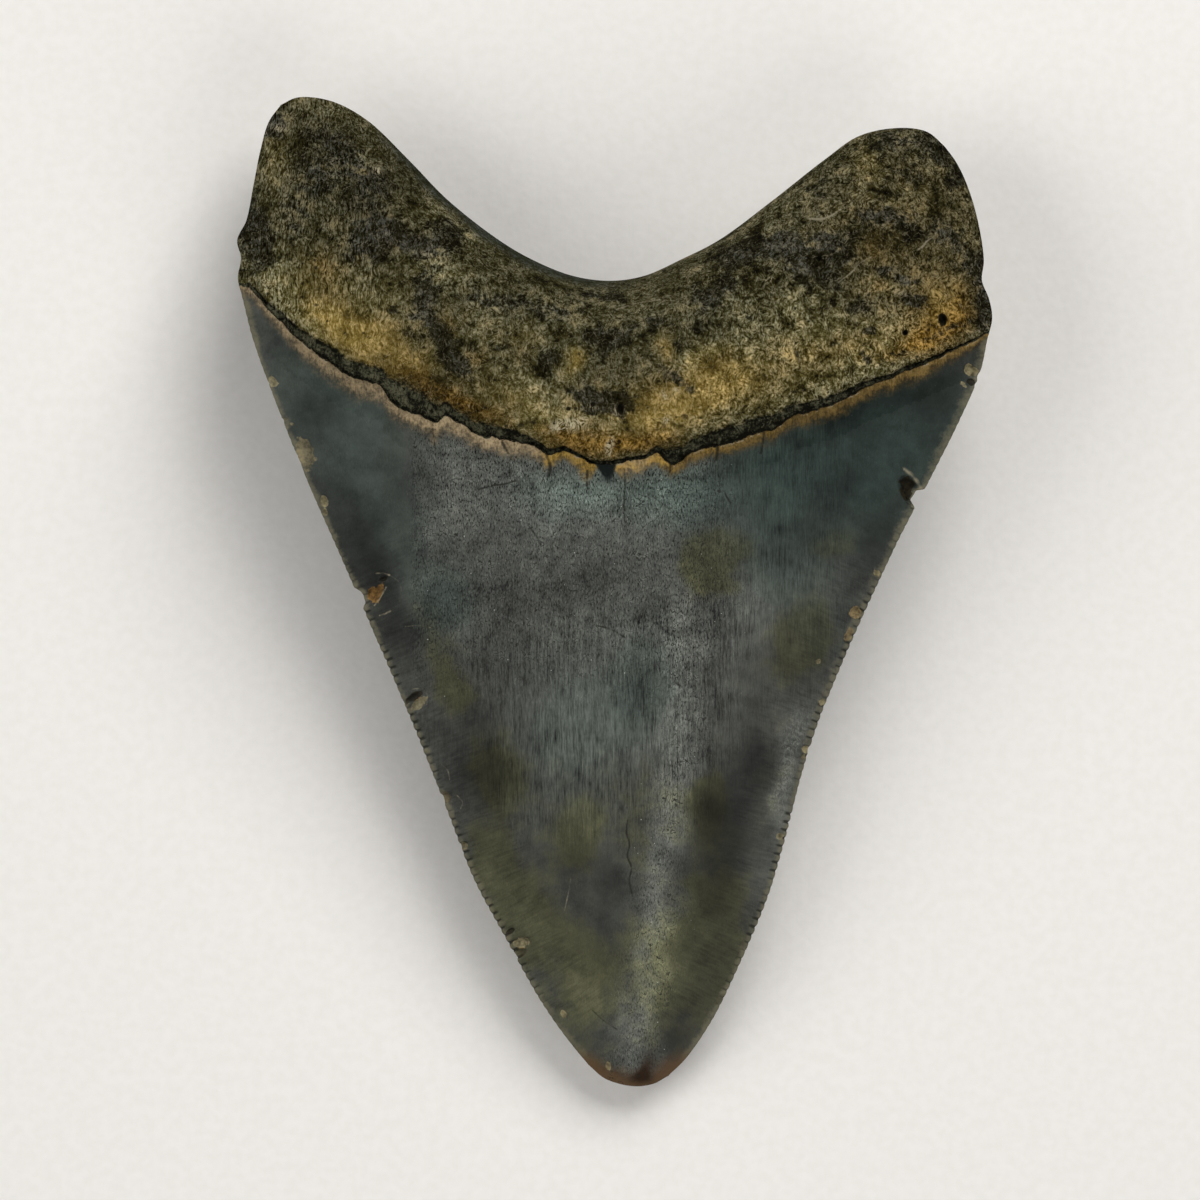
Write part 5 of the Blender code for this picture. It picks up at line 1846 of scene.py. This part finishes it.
    def fanned(self, at: Sites) -> Numbers:
        """How strongly faint strokes run inward from the cutting edges."""
        return 0.8 * ramp(at.gap, 7.5, 4) * ramp(at.up, 4, 9) * ramp(at.y, 14, -4)

    def streaked(self, at: Sites) -> Numbers:
        """How strongly the enamel is streaked along Y: most in the lower middle, and hardly at the sides.

        Args:
            at: The points.

        Returns:
            Numbers from 0 to 1.
        """
        half, slope = self.wear.middle_slope
        wide = np.abs(at.x + 1.5 * at.rough(4.0) + 1.0) - (half + slope * at.y)
        low = ramp(at.y, 3, -6) * ramp(at.y, -28, -20) * ramp(wide, 2, -1.5)
        side = ramp(at.x, *self.wear.middle_from) * ramp(at.x, 26, 20)
        side = side * (1 + 1.2 * ramp(at.x, 6, 11) * ramp(at.y, -8, -2))
        return np.clip(0.08 + 0.27 * side * ramp(at.y, -24, -14) + 0.75 * low, 0, 1)

    def speckled(self, at: Sites) -> Numbers:
        """How strongly the enamel is speckled: in its upper middle, along the crest and by the right edge.

        Args:
            at: The points.

        Returns:
            Numbers from 0 up.
        """
        if not at.outer:
            return np.full_like(at.x, 0.15)
        x = at.x + 2.0 * at.rough(4.0)
        upper = ramp(at.y, -14, -1) * ramp(at.x, *self.wear.middle_from) * ramp(x, 16, 7)
        crest = bell(x - along(at.y, self.wear.crest_line), 2.4) * ramp(at.y, 2, -4)
        near_neck = 0.4 * ramp(at.y, 5, 9) * ramp(at.x, -19, -16) * ramp(at.x, 11, 7)
        scuffs = 0.3 * together(self.wear.scuffs, at.x, at.y)
        return np.clip(0.15 + 0.85 * upper + 0.8 * crest + near_neck + scuffs, 0, 1.4)

    def notch_rim(self, at: Sites) -> Numbers:
        """1 on the smooth cool rim along the left side of the root's notch."""
        band = ramp(at.gap + 0.5 * at.rough(2.0), 1.1, 0.4) * ramp(at.above, 3, 6)
        return band * ramp(at.x, -25, -20) * ramp(at.x, 4, -4)

    def build(self, effects: Effects) -> bpy.types.Object:
        """Makes the tooth's mesh with its masks and materials.

        Args:
            effects: The shared node groups.

        Returns:
            The tooth.
        """
        count = len(self.rim.points)
        outer_plan, inner_plan = self.layout(Face.OUTER), self.layout(Face.INNER)
        outer_faces, inner_faces = self.triangles(outer_plan), self.triangles(inner_plan)
        inner_faces = np.where(inner_faces < count, inner_faces, inner_faces + len(outer_plan) - count)
        faces = np.concatenate([outer_faces, inner_faces[:, ::-1]])
        sides = self.sites(outer_plan, Face.OUTER), self.sites(inner_plan[count:], Face.INNER)
        places = np.concatenate([self.surface(at) for at in sides])
        mesh = bpy.data.meshes.new("tooth_skin")
        mesh.from_pydata((places * MILLIMETRE).tolist(), [], faces.tolist())
        upper, lower = (self.stains(at) for at in sides)
        masks = {name: np.concatenate([upper[name], lower[name]]) for name in upper}
        for name, values in masks.items():
            mesh.attributes.new(name, "FLOAT", "POINT").data.foreach_set("value", values.astype(np.float32))
        zones = np.full(len(faces), Zone.NECK.value)
        zones[masks["above"][faces].max(1) < self.crown_zone] = Zone.CROWN.value
        zones[masks["neck"][faces].min(1) > self.root_zone] = Zone.ROOT.value
        for zone in Zone:
            mesh.materials.append(self.finish.material(zone, effects))
        mesh.polygons.foreach_set("material_index", zones)
        mesh.shade_smooth()
        mesh.set_sharp_from_angle(angle=math.radians(self.sharp_angle))
        tooth = bpy.data.objects.new("tooth_skin", mesh)
        bpy.context.scene.collection.objects.link(tooth)
        log.info("tooth_skin: %d triangles on %d points", len(faces), len(places))
        return tooth


# Around the tooth


@dataclass
class Floor:
    """A plain pale floor."""

    size: float = 4.0
    thickness: float = 0.01
    pale: Colour = (0.76, 0.75, 0.73)
    lighter: Colour = (0.79, 0.78, 0.765)
    roughness: float = 0.8
    gloss: float = 0.2
    relief: float = 0.01

    def build(self, effects: Effects, height: float) -> bpy.types.Object:
        """Lays the floor.

        Args:
            effects: The shared groups.
            height: The height of its upper side.

        Returns:
            The floor.
        """
        half = self.size / 2
        corners = [(x, y, z) for z in (height - self.thickness, height) for y in (-half, half) for x in (-half, half)]
        sides = [(0, 2, 3, 1), (4, 5, 7, 6), (0, 1, 5, 4), (1, 3, 7, 5), (3, 2, 6, 7), (2, 0, 4, 6)]
        mesh = bpy.data.meshes.new("floor")
        mesh.from_pydata(corners, [], sides)
        material = bpy.data.materials.new("pale_floor")
        ground = Ground.lay(material, effects)
        colour = ground.coarse.ramp(-1, 1).blend(self.pale, self.lighter)
        height = ground.coarse * self.relief
        ground.finish(material, self.gloss, colour=colour, roughness=self.roughness, height=height)
        mesh.materials.append(material)
        floor = bpy.data.objects.new("floor", mesh)
        bpy.context.scene.collection.objects.link(floor)
        return floor


@dataclass(frozen=True)
class Lamp:
    """A soft square lamp that points at the tooth. Angles are in degrees, and the rest in metres and watts."""

    name: str
    azimuth: float
    elevation: float
    distance: float
    size: float
    power: float
    colour: Colour = (1.0, 0.98, 0.95)

    def build(self) -> None:
        """Hangs the lamp."""
        light = bpy.data.lights.new(self.name, "AREA")
        light.size, light.energy, light.color = self.size, self.power, self.colour
        lamp = bpy.data.objects.new(self.name, light)
        turn, lift = math.radians(self.azimuth), math.radians(self.elevation)
        way = Vector((math.cos(lift) * math.cos(turn), math.cos(lift) * math.sin(turn), math.sin(lift)))
        lamp.location = way * self.distance
        lamp.rotation_euler = way.to_track_quat("Z", "Y").to_euler()
        bpy.context.scene.collection.objects.link(lamp)


@dataclass
class Studio:
    """The lamps, the dim room and the camera that looks straight down."""

    lamps: tuple = (
        Lamp("key_lamp", 62, 44, 1.1, 0.7, 11.0),
        Lamp("fill_lamp", 185, 40, 1.1, 0.9, 6.5),
        Lamp("low_lamp", 300, 36, 1.2, 0.8, 4.5),
    )
    room: Colour = (0.1, 0.1, 0.102)
    lens: float = 700.0
    sensor: float = 36.0
    view_width: float = 0.12
    centre: tuple = (-1.45 * MILLIMETRE, -0.75 * MILLIMETRE)
    sharp_height: float = 12 * MILLIMETRE

    def build(self) -> None:
        """Sets up the room, the lamps and the camera."""
        scene = bpy.context.scene
        world = bpy.data.worlds.new("room")
        world.use_nodes = True
        world.node_tree.nodes["Background"].inputs["Color"].default_value = (*self.room, 1.0)
        scene.world = world
        for lamp in self.lamps:
            lamp.build()
        camera = bpy.data.cameras.new("camera")
        camera.lens, camera.sensor_width = self.lens, self.sensor
        looker = bpy.data.objects.new("camera", camera)
        looker.location = (*self.centre, self.sharp_height + self.view_width * self.lens / self.sensor)
        scene.collection.objects.link(looker)
        scene.camera = looker
        scene.view_settings.view_transform = "Standard"


def main() -> None:
    """Builds the tooth, the floor and the studio."""
    effects = Effects()
    tooth = ToothSkin().build(effects)
    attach(tooth, "root")
    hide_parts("tooth")
    floor = Floor().build(effects, CAD_BOX[0].z)
    log.info("floor: laid at %.5f m", CAD_BOX[0].z)
    Studio().build()
    log.info("studio: lamps and camera set")


if __name__ == "__main__":
    logging.basicConfig(level=logging.INFO, format="%(name)s: %(message)s")
    main()
